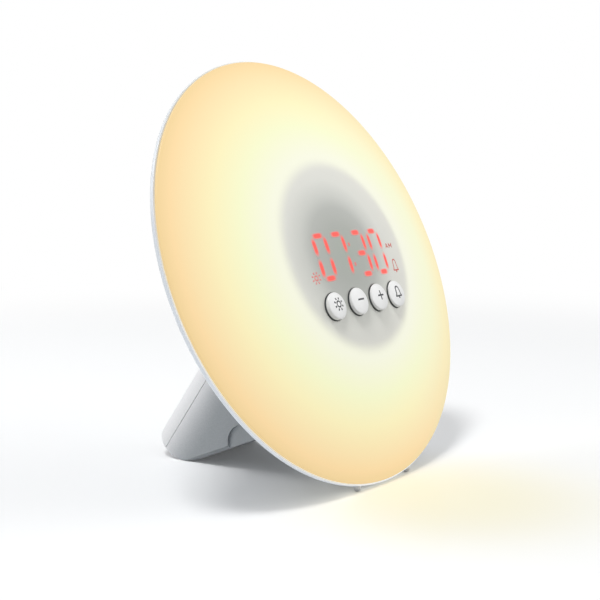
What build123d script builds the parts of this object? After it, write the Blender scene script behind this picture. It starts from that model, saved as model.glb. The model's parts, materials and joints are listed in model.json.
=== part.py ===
"""Sunrise alarm clock: a lens-shaped lamp with a clock in its middle, on a wedge stand.

Units are millimetres. +Z is up and the lit face looks towards -Y, leaning back.
The origin is on the table, under the middle of the clock.
Places on the lamp are given as x, v and n: right, up along the face, and out of the face.
"""
import os
from math import copysign, cos, hypot, radians, sin, sqrt

from build123d import *

os.makedirs("parts", exist_ok=True)

# ---------------------------------------------------------------- driving dimensions
LEAN = 22.7  # degrees that the lit face leans back
FACE_HEIGHT = 88.6  # the disc's centre above the table
FACE_FORWARD = 18.71  # the disc's centre in front of the origin

DOME_EDGE_R = 94.0  # the diffuser is a spherical cap on this radius
DOME_RISE = 19.3
DOME_WALL = 2.0
RIM_R = 94.6  # outer radius of the rear housing
SEAT_N = -0.9  # where the diffuser's edge sits on the rear housing
TONGUE_R = 90.0  # ring under the diffuser that centres it
REAR_SPHERE_R = 200.0  # curve of the rear housing
REAR_POLE_N = -27.0
REAR_WALL = 2.2

HUB_R = 42.0  # clock housing in the middle of the lamp
HUB_WALL = 1.6
HUB_BASE_N = -6.6
BOARD_TOP_N = 6.0
BOARD_T = 1.6
BOARD_R = 38.6
LED_RING_R = 52.5  # the light-emitting diodes stand on this radius
LED_COUNT = 12

BUTTON_R = 5.75
BUTTON_PITCH = 14.87
BUTTON_V = -20.6
BUTTON_PROUD = 1.5
BUTTON_CROWN = 0.7  # rise of the cap's domed top
BUTTON_TRAVEL = 0.8
BUTTON_GAP = 0.3

SCREW_R = 1.25  # cores of the housing's screws, and of the holes they bite into
SMALL_SCREW_R = 1.0  # the same for the circuit boards' screws
CLEAR_R = 1.7  # clearance holes for the housing's screws
HEAD_HOLE_R = 3.3  # deep holes that take their heads

DIGIT_H = 18.2  # between the middles of the top and bottom segments
DIGIT_W = 8.0  # between the middles of the left and right segments
DIGIT_V = -0.5
DIGIT_X = (-19.6, -7.4, 7.0, 20.0)
DISPLAY_N = 15.0  # front of the display module

STAND_W = 47.5
STAND_WALL = 2.2
SOLE_V = -61.4  # underside of the stand, square to the lit face
HEEL_BACK = 77.9  # centre of the heel's round, behind the face
HEEL_V = -40.6
HEEL_CORNER_R = 3.5
REAR_START = (24.9, 2.7)  # where the rear face leaves the housing (back, v)
REAR_SLOPE = 31.7  # degrees between the rear face and the face's normal
REAR_ROUND = (8.0, 17.0)  # the rear corners are quarter ellipses, this far across and deep
ROUND_LIFT = 0.01  # they run this far past the rear face, and so cut it at a slight angle
COVER_DEPTH = 9.0
SEAM_GAP = 0.35
NOTCH_BACK = 50.6  # half-round finger notches in the stand's sides
NOTCH_R = 8.4
NOTCH_DEPTH = 1.2
SOLE_BREAK = 1.5  # bevel along the edges of the underside

# ---------------------------------------------------------------- working planes
lean = radians(LEAN)
slope = radians(REAR_SLOPE)
CENTRE = Vector(0, -FACE_FORWARD, FACE_HEIGHT)
NORMAL = Vector(0, -cos(lean), sin(lean))
UPWARD = Vector(0, sin(lean), cos(lean))
FACE = Plane(origin=CENTRE, x_dir=(1, 0, 0), z_dir=NORMAL)  # x, v, n
SECTION = Plane(origin=CENTRE, x_dir=(1, 0, 0), z_dir=-UPWARD)  # r, n
SIDE = Plane(origin=CENTRE, x_dir=-NORMAL, z_dir=(1, 0, 0))  # back, v
FACE_AXIS = Axis(CENTRE, NORMAL)

# The stand's rear face: its x is the width, its y runs up the slope, its z points out.
DOWN_SLOPE = -NORMAL * cos(slope) - UPWARD * sin(slope)
OUT_OF_SLOPE = -NORMAL * sin(slope) + UPWARD * cos(slope)
REAR_TOP = CENTRE - NORMAL * REAR_START[0] + UPWARD * REAR_START[1]
REAR = Plane(origin=REAR_TOP, x_dir=(-1, 0, 0), z_dir=OUT_OF_SLOPE)
ALONG_REAR = Plane(origin=REAR_TOP, x_dir=(1, 0, 0), z_dir=DOWN_SLOPE)

DOME_SPHERE_R = (DOME_EDGE_R**2 + DOME_RISE**2) / (2 * DOME_RISE)
DOME_CENTRE_N = DOME_RISE - DOME_SPHERE_R
REAR_CENTRE_N = REAR_POLE_N + REAR_SPHERE_R
INNER_DOME_R = DOME_SPHERE_R - DOME_WALL
INNER_REAR_R = REAR_SPHERE_R - REAR_WALL
HUB_FRONT_R = INNER_DOME_R - 0.4  # sphere of the clock housing's front plate
HUB_FRONT_T = 1.4

BUTTON_X = [(i - 1.5) * BUTTON_PITCH for i in range(4)]
BUTTON_NAMES = ("light", "minus", "plus", "alarm")


def dome_n(r, sphere_r=DOME_SPHERE_R):
    """Height of a sphere about the diffuser's centre, at radius r from the axis."""
    return DOME_CENTRE_N + sqrt(sphere_r**2 - r**2)


def rear_n(r, sphere_r=REAR_SPHERE_R):
    """Height of a sphere about the rear housing's centre, at radius r from the axis."""
    return REAR_CENTRE_N - sqrt(sphere_r**2 - r**2)


def polar(r, angle):
    return (r * cos(radians(angle)), r * sin(radians(angle)))


def save(piece, label):
    piece.part.label = label
    export_step(piece.part, f"parts/{label}.step")


# Each helper below adds to, or cuts from, the part that is open when it is called.
def rod(points, r, low, high, mode=Mode.ADD, base=FACE):
    with BuildSketch(base.offset(low)) as discs:
        with Locations(*points):
            Circle(r)
    extrude(discs.sketch, amount=high - low, mode=mode)


def tube(points, r_in, r_out, low, high, base=FACE):
    with BuildSketch(base.offset(low)) as rings:
        with Locations(*points):
            Circle(r_out)
            Circle(r_in, mode=Mode.SUBTRACT)
    extrude(rings.sketch, amount=high - low)


def block(points, size_x, size_y, low, high, mode=Mode.ADD, base=FACE):
    with BuildSketch(base.offset(low)) as plates:
        with Locations(*points):
            Rectangle(size_x, size_y)
    extrude(plates.sketch, amount=high - low, mode=mode)


def turned(points, mode=Mode.ADD):
    """A ring about the face's axis, from a closed outline of (r, n) points."""
    with BuildSketch(SECTION) as outline:
        with BuildLine():
            Polyline(*points, close=True)
        make_face()
    revolve(outline.sketch, axis=FACE_AXIS, mode=mode)


def inside_sphere(centre_n, sphere_r, mode=Mode.INTERSECT):
    with Locations(CENTRE + NORMAL * centre_n):
        Sphere(sphere_r, mode=mode)


def pan_screws(points, head_r, head_t, shank_r, head_n, tip_n, base=FACE):
    """Screws with their heads at head_n and their tips at tip_n, and a driver recess."""
    into = 1 if tip_n > head_n else -1
    neck_n = head_n + into * head_t
    rod(points, head_r, head_n, neck_n, base=base)
    rod(points, shank_r, neck_n, tip_n, base=base)
    block(points, head_r * 1.1, head_r * 0.3, head_n, head_n + into * head_t * 0.6, Mode.SUBTRACT, base)
    block(points, head_r * 0.3, head_r * 1.1, head_n, head_n + into * head_t * 0.6, Mode.SUBTRACT, base)


# ---------------------------------------------------------------- diffuser dome
RIM_SCREWS = [polar(80, angle) for angle in (45, 135, 225, 315)]
BOSS_TOP_N = -0.2
tongue_foot = (TONGUE_R - 1.6, dome_n(TONGUE_R - 1.6, INNER_DOME_R))
inner_top = (0, dome_n(0, INNER_DOME_R))

with BuildPart() as diffuser_dome:
    rod(RIM_SCREWS, 3.6, BOSS_TOP_N, 8)
    inside_sphere(DOME_CENTRE_N, INNER_DOME_R + 0.5)
    with BuildSketch(SECTION):
        with BuildLine():
            Line(inner_top, (0, DOME_RISE))
            RadiusArc((0, DOME_RISE), (DOME_EDGE_R, 0), DOME_SPHERE_R)
            Polyline(
                (DOME_EDGE_R, 0),
                (DOME_EDGE_R, SEAT_N),
                (TONGUE_R, SEAT_N),
                (TONGUE_R, SEAT_N - 1.9),
                (TONGUE_R - 1.6, SEAT_N - 1.9),
                tongue_foot,
            )
            RadiusArc(tongue_foot, inner_top, -INNER_DOME_R)
        make_face()
    revolve(axis=FACE_AXIS)
    rod([(x, BUTTON_V) for x in BUTTON_X], BUTTON_R + BUTTON_GAP, 10, 25, Mode.SUBTRACT)
    rod(RIM_SCREWS, SCREW_R, BOSS_TOP_N, 2.6, Mode.SUBTRACT)
save(diffuser_dome, "diffuser_dome")

# ---------------------------------------------------------------- rear housing
RIM_ROUND = 1.5
HUB_SCREWS = [polar(37.8, angle) for angle in (90, 210, 330)]
HUB_SCREW_SEAT = -14.0
RIM_SCREW_SEAT = -4.6
STAND_SCREWS = [(x, v) for v in (-13, -50) for x in (-16.5, 16.5)]
LED_SCREWS = [polar(LED_RING_R, angle) for angle in (60, 180, 300)]
LED_SCREW_END = -13.0
WIRE_HOLE = (0, -30)
WIRE_HOLE_R = 5.0
LEAD_NOTCH = (42.6, 0)  # lets the light ring's leads under the clock housing
HUB_RING = (40.6, 44.6)  # walls that carry the clock housing and the light ring
LAMP_RING = (56.5, 58.5)
POLE_FOOT_N = -26.0  # bosses start here, in the shell's wall, near the axis
RIM_FOOT_N = -15.0  # and here near the rim
OUTSIDE_N = -30.0  # behind the bowl's pole
BOWL_OPEN_N = -5.0  # in the open space above the bowl's bosses
BOSS_R = 3.6
LAMP_BOSS_R = 2.8
WIDE_BOSS_R = 4.0
FOOT_X = 19.0
FOOT_R = 1.6
FOOT_N = -3.0
FOOT_V = (FOOT_R - FACE_HEIGHT - FOOT_N * sin(lean)) / cos(lean)
FOOT_PLUG = 2.6
UNDER_RIM = Plane(origin=CENTRE + UPWARD * FOOT_V, x_dir=(1, 0, 0), z_dir=UPWARD)

rim_tip_r = RIM_R - RIM_ROUND * 0.53
rim_tip = (rim_tip_r, rear_n(rim_tip_r))
rim_side = (RIM_R, SEAT_N - 1.5)
inner_rim = (TONGUE_R + 0.2, rear_n(TONGUE_R + 0.2, INNER_REAR_R))
inner_pole = (0, rear_n(0, INNER_REAR_R))


def stand_screw_seat(spot):
    return rear_n(hypot(*spot), INNER_REAR_R) + 1.6


with BuildPart() as rear_housing:
    tube([(0, 0)], *HUB_RING, POLE_FOOT_N, HUB_BASE_N)
    tube([(0, 0)], *LAMP_RING, POLE_FOOT_N, HUB_BASE_N)
    rod(HUB_SCREWS, BOSS_R, POLE_FOOT_N, HUB_BASE_N)
    rod(RIM_SCREWS, WIDE_BOSS_R, RIM_FOOT_N, BOSS_TOP_N)
    rod(LED_SCREWS, LAMP_BOSS_R, POLE_FOOT_N, HUB_BASE_N)
    for spot in STAND_SCREWS:
        rod([spot], WIDE_BOSS_R, POLE_FOOT_N, stand_screw_seat(spot))
    inside_sphere(REAR_CENTRE_N, REAR_SPHERE_R - 0.5)
    with BuildSketch(SECTION):
        with BuildLine():
            Line(inner_pole, (0, REAR_POLE_N))
            RadiusArc((0, REAR_POLE_N), rim_tip, -REAR_SPHERE_R)
            RadiusArc(rim_tip, rim_side, -RIM_ROUND)
            Polyline(
                rim_side,
                (RIM_R, SEAT_N - 0.3),
                (RIM_R - 1.4, SEAT_N - 0.3),
                (RIM_R - 1.4, SEAT_N),
                (TONGUE_R + 0.2, SEAT_N),
                inner_rim,
            )
            RadiusArc(inner_rim, inner_pole, INNER_REAR_R)
        make_face()
    revolve(axis=FACE_AXIS)
    rod(RIM_SCREWS, CLEAR_R, RIM_FOOT_N, BOSS_TOP_N, Mode.SUBTRACT)
    rod(RIM_SCREWS, HEAD_HOLE_R, RIM_FOOT_N, RIM_SCREW_SEAT, Mode.SUBTRACT)
    rod(HUB_SCREWS, CLEAR_R, OUTSIDE_N, HUB_BASE_N, Mode.SUBTRACT)
    rod(HUB_SCREWS, HEAD_HOLE_R, OUTSIDE_N, HUB_SCREW_SEAT, Mode.SUBTRACT)
    rod(LED_SCREWS, SMALL_SCREW_R, LED_SCREW_END, HUB_BASE_N, Mode.SUBTRACT)
    rod(STAND_SCREWS, CLEAR_R, OUTSIDE_N, BOWL_OPEN_N, Mode.SUBTRACT)
    rod([WIRE_HOLE], WIRE_HOLE_R, OUTSIDE_N, RIM_FOOT_N, Mode.SUBTRACT)
    block([LEAD_NOTCH], 6, 5, -14, HUB_BASE_N, Mode.SUBTRACT)
    rod([(-FOOT_X, -FOOT_N), (FOOT_X, -FOOT_N)], FOOT_R, 0, FOOT_PLUG, Mode.SUBTRACT, UNDER_RIM)
save(rear_housing, "rear_housing")

with BuildPart() as rim_feet:
    rod([(-FOOT_X, -FOOT_N), (FOOT_X, -FOOT_N)], FOOT_R, 0, FOOT_PLUG, base=UNDER_RIM)
    for x in (-FOOT_X, FOOT_X):
        with Locations(CENTRE + UPWARD * FOOT_V + NORMAL * FOOT_N + Vector(x, 0, 0)):
            Sphere(FOOT_R)
save(rim_feet, "rim_feet")


# ---------------------------------------------------------------- stand
STAND_REACH = 160.0  # longer than the stand any way, for profiles that only trim it


def stand_block(inset):
    """The stand as a solid wedge, with every wall moved in by inset."""
    half = STAND_W / 2 - inset
    heel_r = HEEL_V - SOLE_V - inset
    start = (REAR_START[0] - inset * sin(slope), REAR_START[1] - inset * cos(slope))
    run_x, run_v = cos(slope), -sin(slope)
    off_x, off_v = start[0] - HEEL_BACK, start[1] - HEEL_V
    b = off_x * run_x + off_v * run_v
    reach = -b + sqrt(b**2 - off_x**2 - off_v**2 + heel_r**2)
    corner = (start[0] + reach * run_x, start[1] + reach * run_v)
    top = (start[0] - 25 * run_x, start[1] - 25 * run_v)
    sole = SOLE_V + inset
    with BuildSketch(SIDE) as wedge:
        with BuildLine():
            Line(top, corner)
            RadiusArc(corner, (HEEL_BACK, sole), heel_r)
            Polyline((HEEL_BACK, sole), (0, sole), (0, top[1]), top)
        make_face()
        fillet(wedge.vertices().sort_by_distance(corner)[0], HEEL_CORNER_R - inset)
    extrude(wedge.sketch, amount=half, both=True)
    flat = half - REAR_ROUND[0] + inset
    middle = REAR_ROUND[1]
    level = inset - ROUND_LIFT
    with BuildSketch(ALONG_REAR) as across:
        with BuildLine():
            Polyline((-half, middle), (-half, STAND_REACH), (half, STAND_REACH), (half, middle))
            EllipticalCenterArc((flat, middle), half - flat, middle - level, -90, arc_size=90)
            Line((flat, level), (-flat, level))
            EllipticalCenterArc((-flat, middle), half - flat, middle - level, 180, arc_size=90)
        make_face()
    extrude(across.sketch, amount=STAND_REACH, both=True, mode=Mode.INTERSECT)
    with BuildSketch(FACE) as underside:
        with Locations((0, sole)):
            Rectangle(2 * half, STAND_REACH, align=(Align.CENTER, Align.MIN))
        chamfer(underside.vertices().group_by(Axis.Z)[0], max(SOLE_BREAK - inset, 0.2))
    extrude(underside.sketch, amount=-STAND_REACH, mode=Mode.INTERSECT)


with BuildPart() as stand_outside:
    stand_block(0)
with BuildPart() as stand_inside:
    stand_block(STAND_WALL)
with BuildPart() as lip_inside:
    stand_block(STAND_WALL + 1.0)
with BuildPart() as groove_inside:
    stand_block(0.9)

SEAM = REAR.offset(-COVER_DEPTH)
COVER_SCREWS = [(x, y) for x in (-11.5, 11.5) for y in (-17, -76)]
COLUMN_R = 2.5  # columns that take the cover's screws
COLUMN_FOOT = -20.0
RIB_T = 1.4
RIB_END_X = STAND_W / 2 - STAND_WALL + 0.5  # ribs run this far out, into the side walls
STAND_BOSS_R = 3.4
SPEAKER_Y = -34
JACK_Y = -66
JACK_DEPTH = 14.0
STAND_BOSS_N = -32.0
STAND_BOSS_TOP = -10.0  # inside the rear housing, whose curve trims the bosses
PAD_Y = -FACE_FORWARD + HEEL_BACK * cos(lean) + HEEL_V * sin(lean)
PAD_T = 1.6
PAD_SIZE = (39, 7)



def rib_length(x):
    return RIB_END_X - abs(x)


def rib_middle(x, y):
    """Middle of a rib from a column at x out to the stand's side wall."""
    return (copysign((RIB_END_X + abs(x)) / 2, x), y)


with BuildPart() as centring_lip:
    block([(0, -50)], 60, 120, -3, 1.8, base=SEAM)
    add(stand_inside.part, mode=Mode.INTERSECT)
    add(lip_inside.part, mode=Mode.SUBTRACT)

with BuildPart() as seam_groove:
    block([(0, -50)], 60, 120, -SEAM_GAP, 0, base=SEAM)
    add(groove_inside.part, mode=Mode.SUBTRACT)

with BuildPart() as stand_shell:
    add(stand_outside.part)
    add(stand_inside.part, mode=Mode.SUBTRACT)
    split(bisect_by=SEAM, keep=Keep.BOTTOM)
    add(seam_groove.part, mode=Mode.SUBTRACT)
    add(centring_lip.part)
    rod(COVER_SCREWS, COLUMN_R, COLUMN_FOOT, -STAND_WALL, base=REAR)
    for x, y in COVER_SCREWS:
        block([rib_middle(x, y)], rib_length(x), RIB_T, COLUMN_FOOT, -COVER_DEPTH - 0.5, base=REAR)
    for x, v in STAND_SCREWS:
        block([rib_middle(x, v)], rib_length(x), RIB_T, STAND_BOSS_N, STAND_BOSS_TOP)
    rod(STAND_SCREWS, STAND_BOSS_R, STAND_BOSS_N, STAND_BOSS_TOP)
    inside_sphere(REAR_CENTRE_N, REAR_SPHERE_R, Mode.SUBTRACT)
    add(stand_outside.part, mode=Mode.INTERSECT)
    rod(STAND_SCREWS, SCREW_R, STAND_BOSS_N, STAND_BOSS_TOP, Mode.SUBTRACT)
    rod(COVER_SCREWS, SCREW_R, -14, 0, Mode.SUBTRACT, REAR)
    for side in (-1, 1):
        flank = SIDE.offset(side * (STAND_W / 2 - NOTCH_DEPTH))
        rod([(NOTCH_BACK, SOLE_V)], NOTCH_R, 0, side * 5, Mode.SUBTRACT, flank)
    with BuildSketch(Plane.XY) as pad_seat:
        with Locations((0, PAD_Y)):
            Rectangle(*PAD_SIZE)
    extrude(pad_seat.sketch, amount=PAD_T, mode=Mode.SUBTRACT)
save(stand_shell, "stand_shell")

with BuildPart() as heel_pad:
    with BuildSketch():
        with Locations((0, PAD_Y)):
            RectangleRounded(PAD_SIZE[0] - 0.1, PAD_SIZE[1] - 0.1, 1)
    extrude(amount=PAD_T)
save(heel_pad, "heel_pad")

grille = [(0, SPEAKER_Y)]
for ring_r, count in ((3.4, 6), (6.8, 12), (10.2, 18)):
    for hole in range(count):
        x, y = polar(ring_r, 360 * hole / count)
        grille.append((x, SPEAKER_Y + y))

with BuildPart() as stand_cover:
    add(stand_outside.part)
    add(stand_inside.part, mode=Mode.SUBTRACT)
    split(bisect_by=SEAM, keep=Keep.TOP)
    inside_sphere(REAR_CENTRE_N, REAR_SPHERE_R, Mode.SUBTRACT)
    tube([(0, SPEAKER_Y)], 14.2, 15.4, -5, -STAND_WALL, base=REAR)
    block([(-5.3, JACK_Y), (5.3, JACK_Y)], 1.2, 9, -9, -STAND_WALL, base=REAR)
    rod(grille, 0.9, -STAND_WALL - 0.1, 0.1, Mode.SUBTRACT, REAR)
    rod(COVER_SCREWS, 1.5, -STAND_WALL - 0.1, 0.1, Mode.SUBTRACT, REAR)
    rod(COVER_SCREWS, 2.9, -1.2, 0.1, Mode.SUBTRACT, REAR)
    rod([(0, JACK_Y)], 4.6, -STAND_WALL - 0.1, 0.1, Mode.SUBTRACT, REAR)
save(stand_cover, "stand_cover")

# ---------------------------------------------------------------- power inlet and speaker
JACK_BODY = (9.4, 9.0)
JACK_NOSE_R = 4.4
JACK_BORE_R = 2.9  # takes a barrel plug 5.5 mm across
JACK_BORE_END = -11.5
JACK_PIN_R = 1.0  # centre contact
JACK_PIN_BASE_R = 1.5  # its thicker foot, pressed into the jack's floor
JACK_PIN_TIP = -1.8

with BuildPart() as dc_jack:
    block([(0, JACK_Y)], *JACK_BODY, -JACK_DEPTH, -STAND_WALL, base=REAR)
    rod([(0, JACK_Y)], JACK_NOSE_R, -STAND_WALL, -0.3, base=REAR)
    rod([(0, JACK_Y)], JACK_BORE_R, JACK_BORE_END, 0, Mode.SUBTRACT, REAR)
    rod([(0, JACK_Y)], JACK_PIN_BASE_R, -JACK_DEPTH, JACK_BORE_END, Mode.SUBTRACT, REAR)
save(dc_jack, "dc_jack")

with BuildPart() as dc_jack_pin:
    rod([(0, JACK_Y)], JACK_PIN_BASE_R, -JACK_DEPTH - 1, JACK_BORE_END, base=REAR)
    rod([(0, JACK_Y)], JACK_PIN_R, JACK_BORE_END, JACK_PIN_TIP, base=REAR)
    chamfer(dc_jack_pin.faces().sort_by(Axis(REAR_TOP, OUT_OF_SLOPE))[-1].edges(), 0.3)
save(dc_jack_pin, "dc_jack_pin")

SPEAKER = REAR.offset(-STAND_WALL)


def speaker_ring(points):
    """A ring about the speaker's axis, from a closed outline of (r, depth) points."""
    middle = SPEAKER.from_local_coords((0, SPEAKER_Y, 0))
    section = Plane(origin=middle, x_dir=(1, 0, 0), z_dir=-DOWN_SLOPE)
    with BuildSketch(section) as outline:
        with BuildLine():
            Polyline(*points, close=True)
        make_face()
    revolve(outline.sketch, axis=Axis(section.origin, OUT_OF_SLOPE))


with BuildPart() as speaker_gasket:
    tube([(0, SPEAKER_Y)], 11.8, 14.0, -1, 0, base=SPEAKER)
save(speaker_gasket, "speaker_gasket")

with BuildPart() as speaker_frame:
    basket = [(12, -1), (14, -1), (14, -2.2), (12.6, -2.2), (8.5, -6.2), (8.5, -7.4)]
    speaker_ring(basket + [(4.6, -7.4), (4.6, -6.6), (7.4, -6.2), (12, -2)])
save(speaker_frame, "speaker_frame")

with BuildPart() as speaker_cone:
    upper_skin = [(0, -3.2), (4, -4.4), (10.4, -1.6), (11.2, -1.1), (12, -1.5)]
    lower_skin = [(12, -1.9), (11.2, -1.6), (10.4, -2.1), (4.1, -5.0), (4.1, -7.0), (3.7, -7.0)]
    speaker_ring(upper_skin + lower_skin + [(3.7, -4.9), (0, -3.7)])
save(speaker_cone, "speaker_cone")

with BuildPart() as speaker_magnet:
    rod([(0, SPEAKER_Y)], 9.0, -12, -7.4, base=SPEAKER)
save(speaker_magnet, "speaker_magnet")

# ---------------------------------------------------------------- clock housing
BOARD_BOSSES = [polar(35, angle) for angle in (20, 160, 270)]
WINDOW = (51.6, 21.0)
INDICATORS = {"sun": (-28.4, -7.8), "bell": (30.7, -8.6), "morning": (30.5, 1.0)}
INDICATOR_R = 2.4
HUB_BOSS_TOP = 2.0
FLANGE_R = 6.5
FLANGE_HOLE_R = 6.95
PLATE_BELOW_N, PLATE_ABOVE_N = 8.0, 20.0  # levels under and over the domed plate
outer_edge_n = dome_n(HUB_R, HUB_FRONT_R)
plate_sphere_r = HUB_FRONT_R - HUB_FRONT_T

with BuildPart() as clock_housing:
    rod(BOARD_BOSSES, LAMP_BOSS_R, BOARD_TOP_N, PLATE_ABOVE_N)
    inside_sphere(DOME_CENTRE_N, plate_sphere_r + 0.3)
    rod(HUB_SCREWS, LAMP_BOSS_R, HUB_BASE_N, HUB_BOSS_TOP)
    rod([(0, 0)], HUB_R - 0.2, HUB_BASE_N, PLATE_ABOVE_N, Mode.INTERSECT)
    with BuildSketch(SECTION):
        with BuildLine():
            inner_edge = (HUB_R - HUB_WALL, dome_n(HUB_R - HUB_WALL, plate_sphere_r))
            Line((0, dome_n(0, plate_sphere_r)), (0, dome_n(0, HUB_FRONT_R)))
            RadiusArc((0, dome_n(0, HUB_FRONT_R)), (HUB_R, outer_edge_n), HUB_FRONT_R)
            Polyline(
                (HUB_R, outer_edge_n),
                (HUB_R, HUB_BASE_N),
                (HUB_R - HUB_WALL, HUB_BASE_N),
                inner_edge,
            )
            RadiusArc(inner_edge, (0, dome_n(0, plate_sphere_r)), -plate_sphere_r)
        make_face()
    revolve(axis=FACE_AXIS)
    block([(0, DIGIT_V)], *WINDOW, PLATE_BELOW_N, PLATE_ABOVE_N, Mode.SUBTRACT)
    rod([(x, BUTTON_V) for x in BUTTON_X], FLANGE_HOLE_R, PLATE_BELOW_N, PLATE_ABOVE_N, Mode.SUBTRACT)
    rod(INDICATORS.values(), INDICATOR_R, PLATE_BELOW_N, PLATE_ABOVE_N, Mode.SUBTRACT)
    rod(BOARD_BOSSES, SMALL_SCREW_R, BOARD_TOP_N, BOARD_TOP_N + 5, Mode.SUBTRACT)
    rod(HUB_SCREWS, SCREW_R, HUB_BASE_N, HUB_BOSS_TOP - 1, Mode.SUBTRACT)
save(clock_housing, "clock_housing")

with BuildPart() as main_board:
    rod([(0, 0)], BOARD_R, BOARD_TOP_N - BOARD_T, BOARD_TOP_N)
    rod(BOARD_BOSSES, SMALL_SCREW_R + 0.1, BOARD_TOP_N - BOARD_T, BOARD_TOP_N, Mode.SUBTRACT)
save(main_board, "main_board")

with BuildPart() as display_module:
    block([(0, DIGIT_V)], WINDOW[0] - 0.8, WINDOW[1] - 0.8, BOARD_TOP_N, DISPLAY_N)
save(display_module, "display_module")

# ---------------------------------------------------------------- seven-segment digits
SEGMENT_T = 0.3
BAR = (5.9, 2.3)
STROKE = (1.5, 6.9)
SEGMENTS = {
    "top": (0, 1, BAR),
    "middle": (0, 0, BAR),
    "bottom": (0, -1, BAR),
    "upper_left": (-1, 0.5, STROKE),
    "upper_right": (1, 0.5, STROKE),
    "lower_left": (-1, -0.5, STROKE),
    "lower_right": (1, -0.5, STROKE),
}
DARK = {0: ["middle"], 3: ["upper_left", "lower_left"], 7: ["middle", "bottom", "upper_left", "lower_left"]}
SHOWN = (0, 7, 3, 0)
COLON = [(-0.2, 3.9), (-0.2, -4.9)]
COLON_R = 0.75


def segment_bars(lit):
    """The lit, or the dark, segments of the time on show, as flat windows on the display."""
    for digit, digit_x in zip(SHOWN, DIGIT_X):
        for name, (side, level, size) in SEGMENTS.items():
            if (name in DARK[digit]) == lit:
                continue
            with BuildSketch(FACE.offset(DISPLAY_N)) as window:
                with Locations((digit_x + side * DIGIT_W / 2, DIGIT_V + level * DIGIT_H / 2)):
                    Rectangle(*size)
                fillet(window.vertices(), min(size) / 2 - 0.02)
            extrude(window.sketch, amount=SEGMENT_T)


with BuildPart() as lit_segments:
    segment_bars(True)
    rod(COLON, COLON_R, DISPLAY_N, DISPLAY_N + SEGMENT_T)
save(lit_segments, "lit_segments")

with BuildPart() as dark_segments:
    segment_bars(False)
save(dark_segments, "dark_segments")

with BuildPart() as indicator_lights:
    for spot in INDICATORS.values():
        rod([spot], INDICATOR_R - 0.1, BOARD_TOP_N, dome_n(hypot(*spot) + INDICATOR_R, HUB_FRONT_R))
save(indicator_lights, "indicator_lights")

# ---------------------------------------------------------------- buttons and their switches
SWITCH_TOP_N = 9.5
SWITCH_FLOOR_N = 6.4
PLUNGER_R = 1.7
PLUNGER_TOP_N = 10.6
PLUNGER_FIT = 0.08
CAP_ROUND = 0.5
FLANGE_T = 1.2
STEM_R = 1.5
CROWN_R = (BUTTON_R**2 + BUTTON_CROWN**2) / (2 * BUTTON_CROWN)

with BuildPart() as switch_bodies:
    spots = [(x, BUTTON_V) for x in BUTTON_X]
    block(spots, 6.2, 6.2, BOARD_TOP_N, SWITCH_TOP_N)
    rod(spots, PLUNGER_R + PLUNGER_FIT, SWITCH_FLOOR_N, SWITCH_TOP_N, Mode.SUBTRACT)
save(switch_bodies, "switch_bodies")

for name, button_x in zip(BUTTON_NAMES, BUTTON_X):
    spot = (button_x, BUTTON_V)
    radius = hypot(*spot)
    flange_n = dome_n(radius + FLANGE_R, INNER_DOME_R) - 0.2
    top_n = dome_n(radius) + BUTTON_PROUD + BUTTON_CROWN
    with BuildPart() as button:
        rod([spot], BUTTON_R, flange_n - FLANGE_T, top_n + 1)
        with Locations(FACE.from_local_coords((*spot, top_n - CROWN_R))):
            Sphere(CROWN_R, mode=Mode.INTERSECT)
        fillet(button.edges().filter_by(GeomType.CIRCLE).sort_by(FACE_AXIS)[-1], CAP_ROUND)
        rod([spot], FLANGE_R, flange_n - FLANGE_T, flange_n)
        rod([spot], STEM_R, PLUNGER_TOP_N, flange_n - FLANGE_T)
    save(button, f"button_{name}")
    with BuildPart() as plunger:
        rod([spot], PLUNGER_R, SWITCH_FLOOR_N + BUTTON_TRAVEL + 0.2, PLUNGER_TOP_N)
    save(plunger, f"plunger_{name}")

# ---------------------------------------------------------------- parts behind the board
BOARD_BACK_N = BOARD_TOP_N - BOARD_T

with BuildPart() as microcontroller:
    block([(0, 8)], 10, 10, BOARD_BACK_N - 1.4, BOARD_BACK_N)
save(microcontroller, "microcontroller")

with BuildPart() as capacitors:
    rod([(-16, 12), (-16, 2)], 3.2, BOARD_BACK_N - 8, BOARD_BACK_N)
save(capacitors, "capacitors")

with BuildPart() as led_drivers:
    block([(-4, -8), (4, -8), (12, -8)], 4.4, 4, BOARD_BACK_N - 1.5, BOARD_BACK_N)
save(led_drivers, "led_drivers")

SOCKETS = {"led": (20, 0), "power": (0, -20), "speaker": (12, -20)}
SOCKET_H = 6.0

with BuildPart() as board_sockets:
    block(SOCKETS.values(), 7.5, 5, BOARD_BACK_N - SOCKET_H, BOARD_BACK_N)
save(board_sockets, "board_sockets")

# ---------------------------------------------------------------- light ring and reflector
RING_TOP_N = HUB_BASE_N + 1.6
LED_H = 0.8
DISH_N = RING_TOP_N + 1.0
led_spots = [polar(LED_RING_R, 360 * (i + 0.5) / LED_COUNT) for i in range(LED_COUNT)]

with BuildPart() as led_board:
    tube([(0, 0)], 43.0, 60.0, HUB_BASE_N, RING_TOP_N)
    rod(LED_SCREWS, SMALL_SCREW_R + 0.1, HUB_BASE_N, RING_TOP_N, Mode.SUBTRACT)
save(led_board, "led_board")

with BuildPart() as led_emitters:
    with BuildSketch(FACE.offset(RING_TOP_N)) as chips:
        with PolarLocations(LED_RING_R, LED_COUNT, start_angle=180 / LED_COUNT):
            Rectangle(2.8, 3.5)
    extrude(chips.sketch, amount=LED_H)
save(led_emitters, "led_emitters")

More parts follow.
